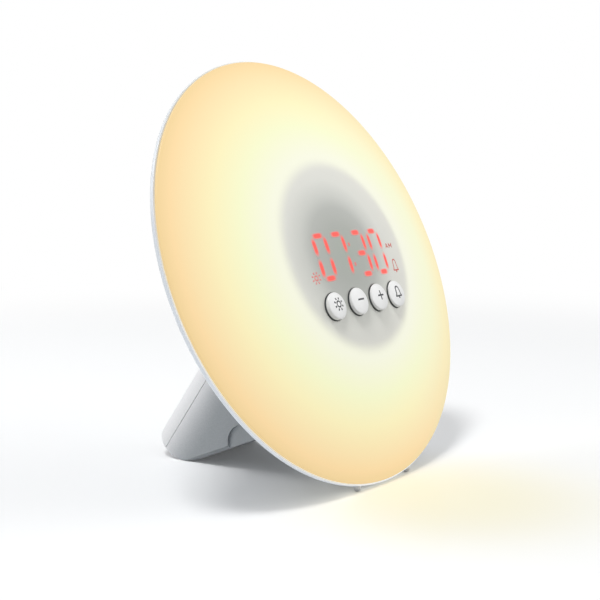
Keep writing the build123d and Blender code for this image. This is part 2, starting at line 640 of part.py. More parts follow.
with BuildPart() as reflector:
    turned([(42.6, RING_TOP_N), (42.6, DISH_N), (60, DISH_N), (75, 1.2), (75.4, 0.2), (60.4, RING_TOP_N)])
    rod(led_spots, 3.4, RING_TOP_N, DISH_N, Mode.SUBTRACT)
    rod(LED_SCREWS, SMALL_SCREW_R + 0.1, RING_TOP_N, DISH_N, Mode.SUBTRACT)
save(reflector, "reflector")

# ---------------------------------------------------------------- screws
with BuildPart() as rim_screws:
    pan_screws(RIM_SCREWS, 3.0, 1.8, SCREW_R, RIM_SCREW_SEAT - 1.8, 2.4)
save(rim_screws, "rim_screws")

with BuildPart() as hub_screws:
    pan_screws(HUB_SCREWS, 3.0, 1.8, SCREW_R, HUB_SCREW_SEAT - 1.8, 0.5)
save(hub_screws, "hub_screws")

with BuildPart() as stand_screws:
    for spot in STAND_SCREWS:
        pan_screws([spot], 2.8, 1.6, SCREW_R, stand_screw_seat(spot) + 1.6, STAND_BOSS_N + 1)
save(stand_screws, "stand_screws")

with BuildPart() as cover_screws:
    pan_screws(COVER_SCREWS, 2.7, 1.1, SCREW_R, -0.1, -13, base=REAR)
save(cover_screws, "cover_screws")

with BuildPart() as board_screws:
    pan_screws(BOARD_BOSSES, 1.9, 1.3, SMALL_SCREW_R, BOARD_BACK_N - 1.3, BOARD_TOP_N + 4)
save(board_screws, "board_screws")

with BuildPart() as led_board_screws:
    pan_screws(LED_SCREWS, 1.9, 1.3, SMALL_SCREW_R, DISH_N + 1.3, HUB_BASE_N - 5)
save(led_board_screws, "led_board_screws")

# ---------------------------------------------------------------- leads
LEAD_R = 0.55
LEAD_BEND_R = 1.8
LEAD_PITCH = 1.6
SOCKET_N = BOARD_BACK_N - SOCKET_H


def wire(route):
    """One insulated wire along (x, v, n) points, with the same bend at each corner."""
    with BuildLine() as path:
        FilletPolyline(*[FACE.from_local_coords(place) for place in route], radius=LEAD_BEND_R)
    with BuildSketch(Plane(origin=path.line @ 0, z_dir=path.line % 0)) as section:
        Circle(LEAD_R)
    sweep(section.sketch, path=path.line)


def lead_pair(route):
    """Two wires side by side along (x, v, n) points."""
    for shift in (-LEAD_PITCH / 2, LEAD_PITCH / 2):
        wire([(x + shift, v, n) for x, v, n in route])


def in_stand(x, y, depth):
    """The (x, v, n) place of a point given across, along and below the stand's rear face."""
    return tuple(FACE.to_local_coords(REAR.from_local_coords((-x, y, -depth))))


with BuildPart() as power_leads:
    jack_end = [in_stand(-2, JACK_Y + 3, JACK_DEPTH), in_stand(-2, JACK_Y + 3, JACK_DEPTH + 4)]
    through_hole = [(-2, -42, -40), (-2, -31, -30), (-2, -31, -18)]
    lead_pair(jack_end + through_hole + [(0, -20, -6), (0, -20, SOCKET_N)])
save(power_leads, "power_leads")

with BuildPart() as speaker_leads:
    tab_y = SPEAKER_Y + 12.9
    tab_end = [in_stand(2, tab_y, 4.4), in_stand(2, tab_y, 12)]
    through_hole = [(2, -29, -32), (2, -29, -18)]
    lead_pair(tab_end + through_hole + [(12, -20, -6), (12, -20, SOCKET_N)])
save(speaker_leads, "speaker_leads")

with BuildPart() as led_leads:
    for v in (-LEAD_PITCH / 2, LEAD_PITCH / 2):
        wire([(46, v, HUB_BASE_N), (46, v, -10), (20, v, -10), (20, v, SOCKET_N)])
save(led_leads, "led_leads")
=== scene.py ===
import json
import math

import bpy
from mathutils import Matrix, Vector


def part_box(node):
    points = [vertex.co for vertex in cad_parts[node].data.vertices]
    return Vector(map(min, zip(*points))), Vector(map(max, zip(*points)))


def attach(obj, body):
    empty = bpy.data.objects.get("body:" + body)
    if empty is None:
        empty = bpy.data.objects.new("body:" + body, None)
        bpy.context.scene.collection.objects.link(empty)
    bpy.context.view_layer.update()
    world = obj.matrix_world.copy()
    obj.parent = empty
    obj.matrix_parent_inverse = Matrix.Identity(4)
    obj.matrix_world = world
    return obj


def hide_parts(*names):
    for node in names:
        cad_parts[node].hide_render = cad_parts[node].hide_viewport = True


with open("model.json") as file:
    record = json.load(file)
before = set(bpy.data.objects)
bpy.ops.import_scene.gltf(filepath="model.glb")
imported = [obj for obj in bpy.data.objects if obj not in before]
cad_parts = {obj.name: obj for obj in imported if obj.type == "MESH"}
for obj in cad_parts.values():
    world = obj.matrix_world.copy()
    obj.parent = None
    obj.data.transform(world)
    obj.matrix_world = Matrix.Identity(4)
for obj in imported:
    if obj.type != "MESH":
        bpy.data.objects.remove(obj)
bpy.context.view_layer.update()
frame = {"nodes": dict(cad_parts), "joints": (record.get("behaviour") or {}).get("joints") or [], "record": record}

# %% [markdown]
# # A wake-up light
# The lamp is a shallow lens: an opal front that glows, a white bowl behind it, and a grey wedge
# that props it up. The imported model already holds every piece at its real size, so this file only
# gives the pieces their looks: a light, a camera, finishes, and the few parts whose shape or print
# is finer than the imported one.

MM = 0.001

# %% [markdown]
# ## Where the lit face is
# Most of the work happens on the lit face, which leans back. It is easier to draw there with
# x to the right, v up the face and n out of it, and to turn the finished mesh into place at the
# end. The keys are pressed straight into the face, so a key's joint gives the face's direction,
# and the ring-shaped lamp board sits squarely on its axis.

# %% The face's own frame
LAMP_BOARD_N = -5.8 * MM  # middle of the lamp board, behind the lens's edge

NORMAL = -Vector(frame["joints"][0]["axis"]).normalized()
ACROSS = Vector((1, 0, 0))
UPWARD = NORMAL.cross(ACROSS)
board_low, board_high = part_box("led_board")
CENTRE = (board_low + board_high) / 2 - NORMAL * LAMP_BOARD_N
FACE = Matrix.Translation(CENTRE) @ Matrix((ACROSS, UPWARD, NORMAL)).transposed().to_4x4()
print("face centre, mm:", [round(c / MM, 2) for c in CENTRE])

# %% [markdown]
# ## The camera
# A long lens from the front left, a little above the table, at the height of the lamp's middle.
# The camera is placed by the direction it looks back along and by its distance, and then moved
# sideways a little, which frames the lamp without turning the view.

# %% Camera
AZIMUTH, ELEVATION = math.radians(-53.85), math.radians(8.24)
DISTANCE = 600 * MM
SHIFT_RIGHT, SHIFT_UP = -7.95 * MM, -14.08 * MM
SENSOR, LENS = 36.0, 84.42  # in millimetres, as a camera's are
NEAREST, FARTHEST = 0.01, 50.0


def add_object(name, data):
    """An object at the origin, in the scene."""
    added = bpy.data.objects.new(name, data)
    bpy.context.scene.collection.objects.link(added)
    return added


back = Vector((math.sin(AZIMUTH) * math.cos(ELEVATION), -math.cos(AZIMUTH) * math.cos(ELEVATION),
               math.sin(ELEVATION)))
right = Vector((0, 0, 1)).cross(back).normalized()
up = back.cross(right)
place = CENTRE + back * DISTANCE + right * SHIFT_RIGHT + up * SHIFT_UP
camera = add_object("camera", bpy.data.cameras.new("camera"))
camera.matrix_world = Matrix.Translation(place) @ Matrix((right, up, back)).transposed().to_4x4()
camera.data.lens, camera.data.sensor_width = LENS, SENSOR
camera.data.clip_start, camera.data.clip_end = NEAREST, FARTHEST
bpy.context.scene.camera = camera
print("camera, mm:", [round(c / MM) for c in camera.matrix_world.translation])

# %% [markdown]
# ## Helpers for node trees
# Materials and Geometry Nodes are both trees of nodes, so one small function adds a node to
# either, sets its options and joins or fills its sockets. Colours are given as people read them,
# as sRGB hex values, and turned to the linear values that the renderer adds up.

# %% Helpers
MATH, VECTOR_MATH, MAP_RANGE = "ShaderNodeMath", "ShaderNodeVectorMath", "ShaderNodeMapRange"
MIX, RAMP, NOISE = "ShaderNodeMix", "ShaderNodeValToRGB", "ShaderNodeTexNoise"
SPLIT, COMBINE = "ShaderNodeSeparateXYZ", "ShaderNodeCombineXYZ"
MIX_A, MIX_B = 6, 7  # the sockets of a colour mix, whose names a float mix has too
FLOAT_A, FLOAT_B = 2, 3


def linear(hex_colour):
    """An sRGB hex colour such as "f4efe6" as linear red, green, blue and alpha."""
    channels = [int(hex_colour[i:i + 2], 16) / 255 for i in (0, 2, 4)]
    turned = [c / 12.92 if c <= 0.04045 else ((c + 0.055) / 1.055) ** 2.4 for c in channels]
    return (*turned, 1.0)


def add_node(tree, kind, sockets=None, stops=(), **options):
    """Adds a node, sets its options and fills or links its sockets, by name or by number.

    A node given for a socket stands for its first output in use. The stops are for a colour
    ramp, as (place, hex colour).
    """
    added = tree.nodes.new(kind)
    for name, value in options.items():
        setattr(added, name, value)
    for key, value in (sockets or {}).items():
        if isinstance(value, bpy.types.Node):
            value = next(output for output in value.outputs if output.enabled)
        if isinstance(value, bpy.types.NodeSocket):
            tree.links.new(value, added.inputs[key])
        else:
            added.inputs[key].default_value = value
    if stops:
        marks = added.color_ramp.elements
        for mark, (share, colour) in zip(marks, (stops[0], stops[-1])):
            mark.position, mark.color = share, linear(colour)
        for share, colour in stops[1:-1]:
            marks.new(share).color = linear(colour)
    return added


def new_material(name):
    """An empty material: its tree, each point's place, and a function that shows a shader."""
    material = bpy.data.materials.new(name)
    material.use_nodes = True
    tree = material.node_tree
    tree.nodes.clear()

    def finish(shader):
        add_node(tree, "ShaderNodeOutputMaterial", {"Surface": shader})
        return material

    return tree, add_node(tree, "ShaderNodeTexCoord").outputs["Object"], finish


# %% [markdown]
# ## Table, backdrop and light
# The lamp stands on a pale table in front of nothing. The table is a diffuse surface that takes
# the lamp's shadow, with a thin share of gloss for the faint mirror image that a clean laminate
# shows, and a painted pool of warm light where the glow falls on it. To the camera it also gives
# off a little light, which brings its unshaded part to white, so table and background meet without
# an edge. To all other light it is a mid grey, because a studio would hang grey cloth round a white
# lamp to give its sides their shade.

# %% Table
TABLE_SIZE = 12.0
# the second colour is a painted pool of warm light where the glow falls on the table
TABLE_WHITE, TABLE_PAINTED_POOL = "fafbfc", "f4f0da"
BOUNCE = "b4b6b8"  # the grey that the table shows to the light it throws back on the lamp
TABLE_LIFT = 0.06  # what the camera sees on top of the light the table returns
FADE_FROM, FADE_TO = 0.30, 0.62  # distances over which the table turns into the background
PAINTED_POOL_CENTRE = Vector((-0.005, -0.09, 0))  # where the glow falls on the table
PAINTED_POOL_R = 0.10
LACQUER_SHARE, LACQUER_ROUGHNESS = 0.04, 0.12


def distance_share(tree, place, centre, start, end):
    """0 to 1 as the distance from centre goes from start to end."""
    far = add_node(tree, VECTOR_MATH, {0: place, 1: centre}, operation="DISTANCE")
    return add_node(tree, MAP_RANGE, {"Value": far, "From Min": start, "From Max": end},
                    interpolation_type="SMOOTHERSTEP")


def seen_directly(tree):
    """1 for camera rays and mirrored or refracted ones, 0 for the rays that light things."""
    rays = add_node(tree, "ShaderNodeLightPath").outputs
    mirrored = add_node(tree, MATH, {0: rays["Is Camera Ray"], 1: rays["Is Glossy Ray"]},
                        operation="MAXIMUM")
    return add_node(tree, MATH, {0: mirrored, 1: rays["Is Transmission Ray"]},
                    operation="MAXIMUM")


def table_finish():
    """White laminate: a diffuse sheet under a thin, slightly rough lacquer, with a painted pool of glow."""
    tree, place, finish = new_material("white_laminate_table")
    direct = seen_directly(tree)
    painted_pool = distance_share(tree, place, PAINTED_POOL_CENTRE, PAINTED_POOL_R, 0.0)
    colour = add_node(tree, MIX, {"Factor": painted_pool, MIX_A: linear(TABLE_WHITE),
                                  MIX_B: linear(TABLE_PAINTED_POOL)}, data_type="RGBA")
    shown = add_node(tree, MIX, {"Factor": direct, MIX_A: linear(BOUNCE), MIX_B: colour},
                     data_type="RGBA")
    sheet = add_node(tree, "ShaderNodeBsdfDiffuse", {"Color": shown})
    gloss = add_node(tree, "ShaderNodeBsdfGlossy", {"Color": linear("ffffff"),
                                                    "Roughness": LACQUER_ROUGHNESS})
    lacquer = add_node(tree, "ShaderNodeMixShader", {0: LACQUER_SHARE, 1: sheet, 2: gloss})
    strength = add_node(tree, MATH, {0: direct, 1: TABLE_LIFT}, operation="MULTIPLY")
    lift = add_node(tree, "ShaderNodeEmission", {"Color": linear("ffffff"), "Strength": strength})
    near = add_node(tree, "ShaderNodeAddShader", {0: lacquer, 1: lift})
    white = add_node(tree, "ShaderNodeEmission", {"Color": linear("ffffff"), "Strength": 1.0})
    away = distance_share(tree, place, (0, 0, 0), FADE_FROM, FADE_TO)
    fade = add_node(tree, MATH, {0: direct, 1: away}, operation="MULTIPLY")
    return finish(add_node(tree, "ShaderNodeMixShader", {0: fade, 1: near, 2: white}))


half = TABLE_SIZE / 2
sheet = bpy.data.meshes.new("table")
sheet.from_pydata([(-half, -half, 0), (half, -half, 0), (half, half, 0), (-half, half, 0)],
                  [], [(0, 1, 2, 3)])
sheet.materials.append(table_finish())
add_object("table", sheet)
print("table:", TABLE_SIZE, "m wide")

# %% World and lamps
SKY_LEVEL = 0.36  # even light from all round, as in a white tent
LAMPS = {  # name: (position, watts, size), all aimed at the lamp's middle
    "overhead": ((-0.46, -0.05, 1.4), 9.0, 0.38),
    "front_right": ((1.1, -1.3, 0.9), 13.0, 1.8),
    "behind_left": ((-0.35, 1.1, 0.75), 4.0, 0.8),
}

world = bpy.data.worlds.new("studio")
bpy.context.scene.world = world
world.use_nodes = True
world.node_tree.nodes.clear()
level = add_node(world.node_tree, MAP_RANGE, {"Value": seen_directly(world.node_tree),
                                              "To Min": SKY_LEVEL, "To Max": 1.0})
sky = add_node(world.node_tree, "ShaderNodeBackground", {"Color": linear("ffffff"),
                                                         "Strength": level})
add_node(world.node_tree, "ShaderNodeOutputWorld", {"Surface": sky})

for name, (position, watts, size) in LAMPS.items():
    light = bpy.data.lights.new(name, "AREA")
    light.shape, light.size, light.energy = "DISK", size, watts
    aim = (CENTRE - Vector(position)).to_track_quat("-Z", "Y").to_matrix().to_4x4()
    add_object(name, light).matrix_world = Matrix.Translation(position) @ aim

bpy.context.scene.view_settings.view_transform = "Standard"
print("lamps:", {name: watts for name, (_, watts, _) in LAMPS.items()})

# %% [markdown]
# ## The glow
# The opal front is lit from behind by a ring of diodes. A plate in the middle blocks that light,
# so the middle carries a painted grey shade, a little darker left of the axis; next to it the front
# is nearly white, with the green-yellow of the diodes' phosphor, and towards the edge the light has
# crossed more plastic and turns to a warm cream. All this depends only on the distance from an
# axis, which the tree works out from Object coordinates. On the right, where the ring is
# brightest, the glow is a little paler.

# %% Colour by distance from the axis
RAMP_END = 100.0 * MM  # the ramps run from the axis to this radius, and their places are shares
GLOW = [(0.45, "f3f4de"), (0.60, "f4f6ca"), (0.72, "faf0bc"), (0.84, "fbe2ad"), (0.89, "fcdca4"),
        (0.94, "f2d49a")]
PALE_GLOW = [(0.45, "ededdc"), (0.66, "ecefce"), (0.84, "f1e6b4"), (0.94, "ecddaa")]
PALE_FROM, PALE_TO = 10 * MM, 85 * MM  # over this way to the right the glow turns paler
# painted shade where the plate blocks the diodes' light
PLATE_SHADE = [(0.0, "aab1a7"), (0.12, "b0b3ac"), (0.20, "bbbdb7"), (0.26, "d4d5ce"), (0.33, "e6e6de"),
         (0.42, "ebeae1")]
PLATE_MIDDLE = CENTRE + ACROSS * -5.5 * MM + UPWARD * 0.5 * MM  # where its shade is darkest
PLATE_END, LIT_START = 0.375, 0.445  # between these shares of RAMP_END grey turns into glow
LIT_SHARE = 0.78  # share of the glow that comes from inside; the room lights the rest


def axis_distance(tree, place, middle=CENTRE):
    """The distance from an axis along NORMAL through middle, as a share of RAMP_END."""
    offset = add_node(tree, VECTOR_MATH, {0: place, 1: middle}, operation="SUBTRACT")
    along = add_node(tree, VECTOR_MATH, {0: offset, 1: NORMAL}, operation="DOT_PRODUCT")
    depth = add_node(tree, VECTOR_MATH, {0: NORMAL, "Scale": along}, operation="SCALE")
    flat = add_node(tree, VECTOR_MATH, {0: offset, 1: depth}, operation="SUBTRACT")
    length = add_node(tree, VECTOR_MATH, {0: flat}, operation="LENGTH")
    return add_node(tree, MATH, {0: length, 1: 1 / RAMP_END}, operation="MULTIPLY")


def painted_plate_shade(tree, place):
    """Painted shade: the soft grey of the front over the plate, where the plate blocks the light."""
    return add_node(tree, RAMP, {"Fac": axis_distance(tree, place, PLATE_MIDDLE)}, PLATE_SHADE)


def glow_and_share(tree, place):
    """The colour of the glow, and how lit the front is, from 0 to 1."""
    share = axis_distance(tree, place)
    across = add_node(tree, SPLIT, {0: place})
    side = add_node(tree, MAP_RANGE, {"Value": across, "From Min": PALE_FROM, "From Max": PALE_TO},
                    interpolation_type="SMOOTHSTEP")
    warm = add_node(tree, RAMP, {"Fac": share}, GLOW)
    pale = add_node(tree, RAMP, {"Fac": share}, PALE_GLOW)
    glow = add_node(tree, MIX, {"Factor": side, MIX_A: warm, MIX_B: pale}, data_type="RGBA")
    lit = add_node(tree, MAP_RANGE, {"Value": share, "From Min": PLATE_END, "From Max": LIT_START},
                   interpolation_type="SMOOTHSTEP")
    return glow, lit


def grained(tree, height, strength, depth, sockets):
    """A surface with these sockets and a grain from height, `depth` millimetres deep."""
    bump = add_node(tree, "ShaderNodeBump", {"Height": height, "Strength": strength,
                                             "Distance": depth * MM})
    return add_node(tree, "ShaderNodeBsdfPrincipled", {**sockets, "Normal": bump})


def diffuser_finish():
    """Opal acrylic, satin from its mould: it scatters the light and hides the diodes."""
    tree, place, finish = new_material("opal_acrylic_satin")
    glow, lit = glow_and_share(tree, place)
    by_room = add_node(tree, VECTOR_MATH, {0: glow, "Scale": 1 - LIT_SHARE}, operation="SCALE")
    base = add_node(tree, MIX, {"Factor": lit, MIX_A: painted_plate_shade(tree, place), MIX_B: by_room},
                    data_type="RGBA")
    strength = add_node(tree, MATH, {0: lit, 1: LIT_SHARE}, operation="MULTIPLY")
    grain = add_node(tree, NOISE, {"Vector": place, "Scale": 1 / (0.8 * MM), "Detail": 2.0})
    return finish(grained(tree, grain, 0.03, 0.02, {
        "Base Color": base, "Roughness": 0.5, "IOR": 1.49,
        "Emission Color": glow, "Emission Strength": strength}))


# %% [markdown]
# ## Finishes
# Apart from the opal front and the keys, the lamp is made of things found in any small appliance:
# moulded plastic, paint, rubber, plated steel, circuit boards. Most of them are one recipe with
# different numbers: a colour that drifts a little from place to place, a fine grain in the
# surface, and the gloss and IOR of the real stuff. The few that need more get a recipe of their
# own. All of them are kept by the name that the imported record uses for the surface.

# %% The common recipe
def surface(name, colour, second, roughness, grain, depth, ior=1.5, metallic=0.0, drift=25.0,
            more=None):
    """A finish from two close colours that drift over `drift` mm, with grain and depth in mm.

    More can be a function of the tree and the place, which gives further sockets.
    """
    tree, place, finish = new_material(name)
    patchy = add_node(tree, NOISE, {"Vector": place, "Scale": 1 / (drift * MM), "Detail": 3.0})
    base = add_node(tree, RAMP, {"Fac": patchy}, [(0.35, colour), (0.65, second)])
    fine = add_node(tree, NOISE, {"Vector": place, "Scale": 1 / (grain * MM), "Detail": 2.0})
    uneven = add_node(tree, MAP_RANGE, {"Value": fine, "From Min": 0.3, "From Max": 0.7,
                                        "To Min": roughness * 0.85, "To Max": roughness * 1.15})
    return finish(grained(tree, fine, 0.5, depth, {
        "Base Color": base, "Roughness": uneven, "IOR": ior, "Metallic": metallic,
        **(more(tree, place) if more else {})}))


# %% [markdown]
# ## Finishes with a recipe of their own
# The stand is painted silver grey. Its sides are dark below the lens and turn pale towards the
# rounded back, where they catch the light; that shade and light are painted into the colour, which
# goes from a darker to a paler grey over the last part of the way to the back. The bowl is white,
# and its thin rim has a painted glow, as if it carried a little of the light from inside: it
# shines most low down, where the lens stands close to the table and the room gives it less.

# %% Paint, rim, boards, foam and wires
STAND_SLOPE = math.radians(31.7)  # between the lit face and the stand's back
STAND_OUT = UPWARD * math.cos(STAND_SLOPE) - NORMAL * math.sin(STAND_SLOPE)
STAND_BACK = (CENTRE - NORMAL * 24.9 * MM + UPWARD * 2.7 * MM).dot(STAND_OUT)
# painted light: over these distances from the back the grey turns pale
PAINTED_LIGHT_FROM, PAINTED_LIGHT_TO = 25 * MM, 4 * MM  # distances from the back over which the paint turns pale


def stand_paint():
    """Silver-grey satin paint on ABS: mostly matt, fine flakes break up the shade; painted shade on the sides,
    painted light at the back.
    """
    tree, place, finish = new_material("silver_grey_paint_satin")
    flakes = add_node(tree, "ShaderNodeTexVoronoi", {"Vector": place, "Scale": 1 / (0.35 * MM)})
    glint = add_node(tree, "ShaderNodeSeparateColor", {0: flakes.outputs["Color"]})
    patchy = add_node(tree, NOISE, {"Vector": place, "Scale": 1 / (30 * MM), "Detail": 2.0})
    mixed = add_node(tree, MIX, {"Factor": 0.55, FLOAT_A: glint, FLOAT_B: patchy})
    backward = add_node(tree, VECTOR_MATH, {0: place, 1: STAND_OUT}, operation="DOT_PRODUCT")
    painted_light_share = add_node(tree, MAP_RANGE, {
        "Value": backward, "From Min": STAND_BACK - PAINTED_LIGHT_FROM, "From Max": STAND_BACK - PAINTED_LIGHT_TO},
        interpolation_type="SMOOTHSTEP")
    # front holds the painted shade of the sides, back the painted light near the rounded back
    front = add_node(tree, RAMP, {"Fac": mixed}, [(0.2, "a3a8ac"), (0.8, "afb4b7")])
    back = add_node(tree, RAMP, {"Fac": mixed}, [(0.2, "eeeff1"), (0.8, "f7f7f8")])
    colour = add_node(tree, MIX, {"Factor": painted_light_share, MIX_A: front, MIX_B: back},
                      data_type="RGBA")
    peel = add_node(tree, NOISE, {"Vector": place, "Scale": 1 / (1.5 * MM), "Detail": 2.0})
    return finish(grained(tree, peel, 0.15, 0.03, {
        "Base Color": colour, "Metallic": 0.25, "Roughness": 0.42, "IOR": 1.5}))


# painted glow on the rim, strongest low down, where the room lights it less
PAINTED_RIM_GLOW = 0.34  # how strongly the rim shines low down
RIM_FROM, RIM_TO = 0.915, 0.94  # shares of RAMP_END over which the bowl starts to shine
DIM_HEIGHT, BRIGHT_HEIGHT = 150 * MM, 50 * MM


def painted_rim_glow(tree, place):
    """Painted glow on the bowl: none on its back, and a bluish white on its rim, strongest low down."""
    height = add_node(tree, SPLIT, {0: place}).outputs["Z"]
    low_down = add_node(tree, MAP_RANGE, {
        "Value": height, "From Min": DIM_HEIGHT, "From Max": BRIGHT_HEIGHT, "To Max": PAINTED_RIM_GLOW},
        interpolation_type="SMOOTHSTEP")
    at_rim = add_node(tree, MAP_RANGE, {
        "Value": axis_distance(tree, place), "From Min": RIM_FROM, "From Max": RIM_TO,
        "To Max": low_down}, interpolation_type="SMOOTHSTEP")
    return {"Emission Color": linear("e9eef6"), "Emission Strength": at_rim}


def circuit_board(name, mask, track):
    """Glass-fibre board: solder mask over copper tracks, which show as paler stripes."""
    tree, place, finish = new_material(name)
    tracks = add_node(tree, "ShaderNodeTexBrick", {
        "Vector": place, "Scale": 1 / (12 * MM), "Mortar Size": 0.02, "Mortar Smooth": 0.2,
        "Color1": linear(mask), "Color2": linear(mask), "Mortar": linear(track)})
    weave = add_node(tree, NOISE, {"Vector": place, "Scale": 1 / (0.5 * MM), "Detail": 1.0})
    return finish(grained(tree, weave, 0.2, 0.02, {
        "Base Color": tracks, "Roughness": 0.35, "IOR": 1.55}))


def foam():
    """Black foam tape: open cells that swallow light."""
    tree, place, finish = new_material("black_foam_tape")
    cells = add_node(tree, "ShaderNodeTexVoronoi", {"Vector": place, "Scale": 1 / (0.4 * MM)})
    colour = add_node(tree, RAMP, {"Fac": cells}, [(0.1, "1a1a1b"), (0.7, "353537")])
    return finish(grained(tree, cells, 0.8, 0.15, {
        "Base Color": colour, "Roughness": 0.95, "IOR": 1.4}))


def wire_insulation():
    """PVC insulation, red on one wire of each pair and black on the other."""
    tree, place, finish = new_material("pvc_wire_insulation")
    island = add_node(tree, "ShaderNodeNewGeometry").outputs["Random Per Island"]
    colour = add_node(tree, RAMP, {"Fac": island}, [(0.45, "b3261e"), (0.55, "1d1d1f")])
    grain = add_node(tree, NOISE, {"Vector": place, "Scale": 1 / (0.6 * MM), "Detail": 1.0})
    return finish(grained(tree, grain, 0.2, 0.02, {
        "Base Color": colour, "Roughness": 0.45, "IOR": 1.53}))


# %% Every finish by its slot
METAL = {"metallic": 1.0}
FINISHES = {
    "diffuser": diffuser_finish(),
    # smooth white with a soft gloss, as it comes out of a polished mould, and a painted glow on its rim
    "housing": surface("white_abs_satin", "e4e9ee", "dfe5ea", 0.32, 0.8, 0.01, 1.53,
                       more=painted_rim_glow),
    "stand": stand_paint(),
    # soft and matt, a little darker where fingers and dust have been
    "rubber": surface("grey_silicone_rubber_matt", "e6e6e4", "dadad8", 0.8, 0.5, 0.03, 1.41),
    # black nylon with the faint sparkle of a fine spark-eroded mould
    "black_plastic": surface("black_nylon_moulded", "18181a", "222224", 0.5, 0.3, 0.02, 1.53),
    # warm bright metal, smooth
    "nickel": surface("nickel_plate", "cfc8b8", "bdb5a4", 0.22, 0.5, 0.003, drift=4, **METAL),
    "foam": foam(),
    # zinc plate on pressed steel: pale grey with cloudy patches
    "steel": surface("zinc_plated_pressing", "b9bcc0", "a3a6ab", 0.38, 0.4, 0.006, drift=5,
                     **METAL),
    # a thin dark film with a dull sheen
    "paper_cone": surface("black_polymer_cone", "1f1f21", "2b2b2d", 0.55, 0.6, 0.02),
    # darker and greyer than the frame that holds it
    "magnet": surface("nickel_coated_magnet", "8d8e91", "77787b", 0.35, 0.6, 0.01, drift=6,
                      **METAL),
    # flat grey paint that soaks up stray light behind the front
    "clock_plate": surface("grey_paint_matt", "c9cac6", "bfc0bc", 0.75, 0.5, 0.02),
    "board": circuit_board("green_circuit_board", "1c5a35", "3c8a58"),
    # cast epoxy, smooth and dark
    "display_black": surface("black_epoxy_block", "141416", "1b1b1e", 0.3, 1.0, 0.008, 1.55),
    # windows over the diodes, cloudy so that each is lit evenly
    "lit_red": surface("red_epoxy_window", "e0483f", "d83c34", 0.35, 0.6, 0.006, 1.55),
    # the same windows over diodes that are off
    "dark_window": surface("milky_epoxy_window", "c4c2bd", "b8b6b0", 0.35, 0.6, 0.006, 1.55),
    # polished, with sharp highlights on its edges
    "light_pipe": surface("red_acrylic_light_pipe", "d4574e", "c94a42", 0.15, 0.8, 0.004, 1.49),
    # dark and finely pitted, like slate
    "chip": surface("black_moulding_compound", "161618", "202022", 0.6, 0.2, 0.01, 1.55),
    # a dark shrunk sleeve, smoother than the chips beside it
    "capacitor": surface("dark_sleeved_can", "24262e", "2c2f38", 0.35, 0.8, 0.01, 1.53),
    # cream nylon, the colour that white nylon turns
    "socket": surface("cream_nylon_socket", "ece6d3", "e2dbc6", 0.5, 0.4, 0.01, 1.53),
    "board_white": circuit_board("white_circuit_board", "eeeeea", "dcdcd6"),
    # phosphor in silicone: yellow, with the softness of a gel
    "emitter": surface("yellow_phosphor_gel", "f2d94a", "e8c93a", 0.3, 0.5, 0.01, 1.41),
    # the brightest white inside, so that as little light as can be is lost
    "reflector_white": surface("white_polycarbonate_gloss", "f4f4f2", "efefec", 0.2, 0.8, 0.006,
                               1.58),
    # zinc plate with fine turning marks across the head
    "screw": surface("zinc_plated_screw", "c2c4c8", "aeb0b5", 0.33, 0.25, 0.01, drift=2, **METAL),
    "lead": wire_insulation(),
    # white and glossy, smooth to the finger
    "button": surface("white_abs_gloss", "f4f4f3", "efefee", 0.28, 0.8, 0.006, 1.53),
    # dark grey and slightly waxy
    "plunger": surface("dark_nylon_plunger", "323236", "3a3a3e", 0.45, 0.4, 0.01, 1.53),
}

for row in frame["record"]["subparts"]:
    node = frame["nodes"][row["node"]]
    node.data.materials.clear()
    node.data.materials.append(FINISHES[row["material_slot"]])

# %% [markdown]
# ## Growing meshes with Geometry Nodes
# Most of the finer parts here follow a rule: a round part is an outline turned about its axis, a
# figure is the same soft patch in many places, a printed sign is a line of even width laid on a
# curved surface. Each rule is a Geometry Nodes tree with named inputs. It runs on a small start
# mesh of points or edges, and the result is kept as a plain mesh.

# %% Helpers for Geometry Nodes
FLOAT, INT, VECTOR, OBJECT = [f"NodeSocket{kind}" for kind in ("Float", "Int", "Vector", "Object")]
GEOMETRY, NAMED = "NodeSocketGeometry", "GeometryNodeInputNamedAttribute"
MOVE, STORE = "GeometryNodeSetPosition", "GeometryNodeStoreNamedAttribute"
SHARP_ANGLE = 35  # degrees: steeper edges stay crisp
ALL_SMOOTH = 180


def new_tree(name, inputs):
    """A tree with a mesh in and out and named inputs, and the sockets that give them."""
    tree = bpy.data.node_groups.new(name, "GeometryNodeTree")
    tree.interface.new_socket("Geometry", in_out="INPUT", socket_type=GEOMETRY)
    tree.interface.new_socket("Geometry", in_out="OUTPUT", socket_type=GEOMETRY)
    for label, kind in inputs.items():
        tree.interface.new_socket(label, in_out="INPUT", socket_type=kind)
    return tree, tree.nodes.new("NodeGroupInput").outputs


def place_parts(tree):
    """The x, y and z of each point."""
    return add_node(tree, SPLIT, {0: add_node(tree, "GeometryNodeInputPosition")}).outputs


def end_tree(tree, geometry, material, sharp_angle=SHARP_ANGLE):
    """Realizes, shades smooth up to sharp_angle, sets the material and gives the result."""
    real = add_node(tree, "GeometryNodeRealizeInstances", {0: geometry})
    smooth = add_node(tree, "GeometryNodeSetShadeSmooth", {"Geometry": real, "Shade Smooth": True})
    angle = add_node(tree, "GeometryNodeInputMeshEdgeAngle")
    steep = add_node(tree, "FunctionNodeCompare", {"A": angle, "B": math.radians(sharp_angle)},
                     data_type="FLOAT", operation="GREATER_THAN")
    crisp = add_node(tree, "GeometryNodeSetShadeSmooth", {
        "Geometry": smooth, "Selection": steep, "Shade Smooth": False}, domain="EDGE")
    done = add_node(tree, "GeometryNodeSetMaterial", {"Geometry": crisp, "Material": material})
    add_node(tree, "NodeGroupOutput", {0: done})


def start_mesh(name, points, edges=(), **values):
    """Points and edges to grow from, with named values for each point."""
    mesh = bpy.data.meshes.new(name)
    mesh.from_pydata(points, edges, [])
    for label, numbers in values.items():
        mesh.attributes.new(label, "FLOAT", "POINT").data.foreach_set("value", numbers)
    return mesh


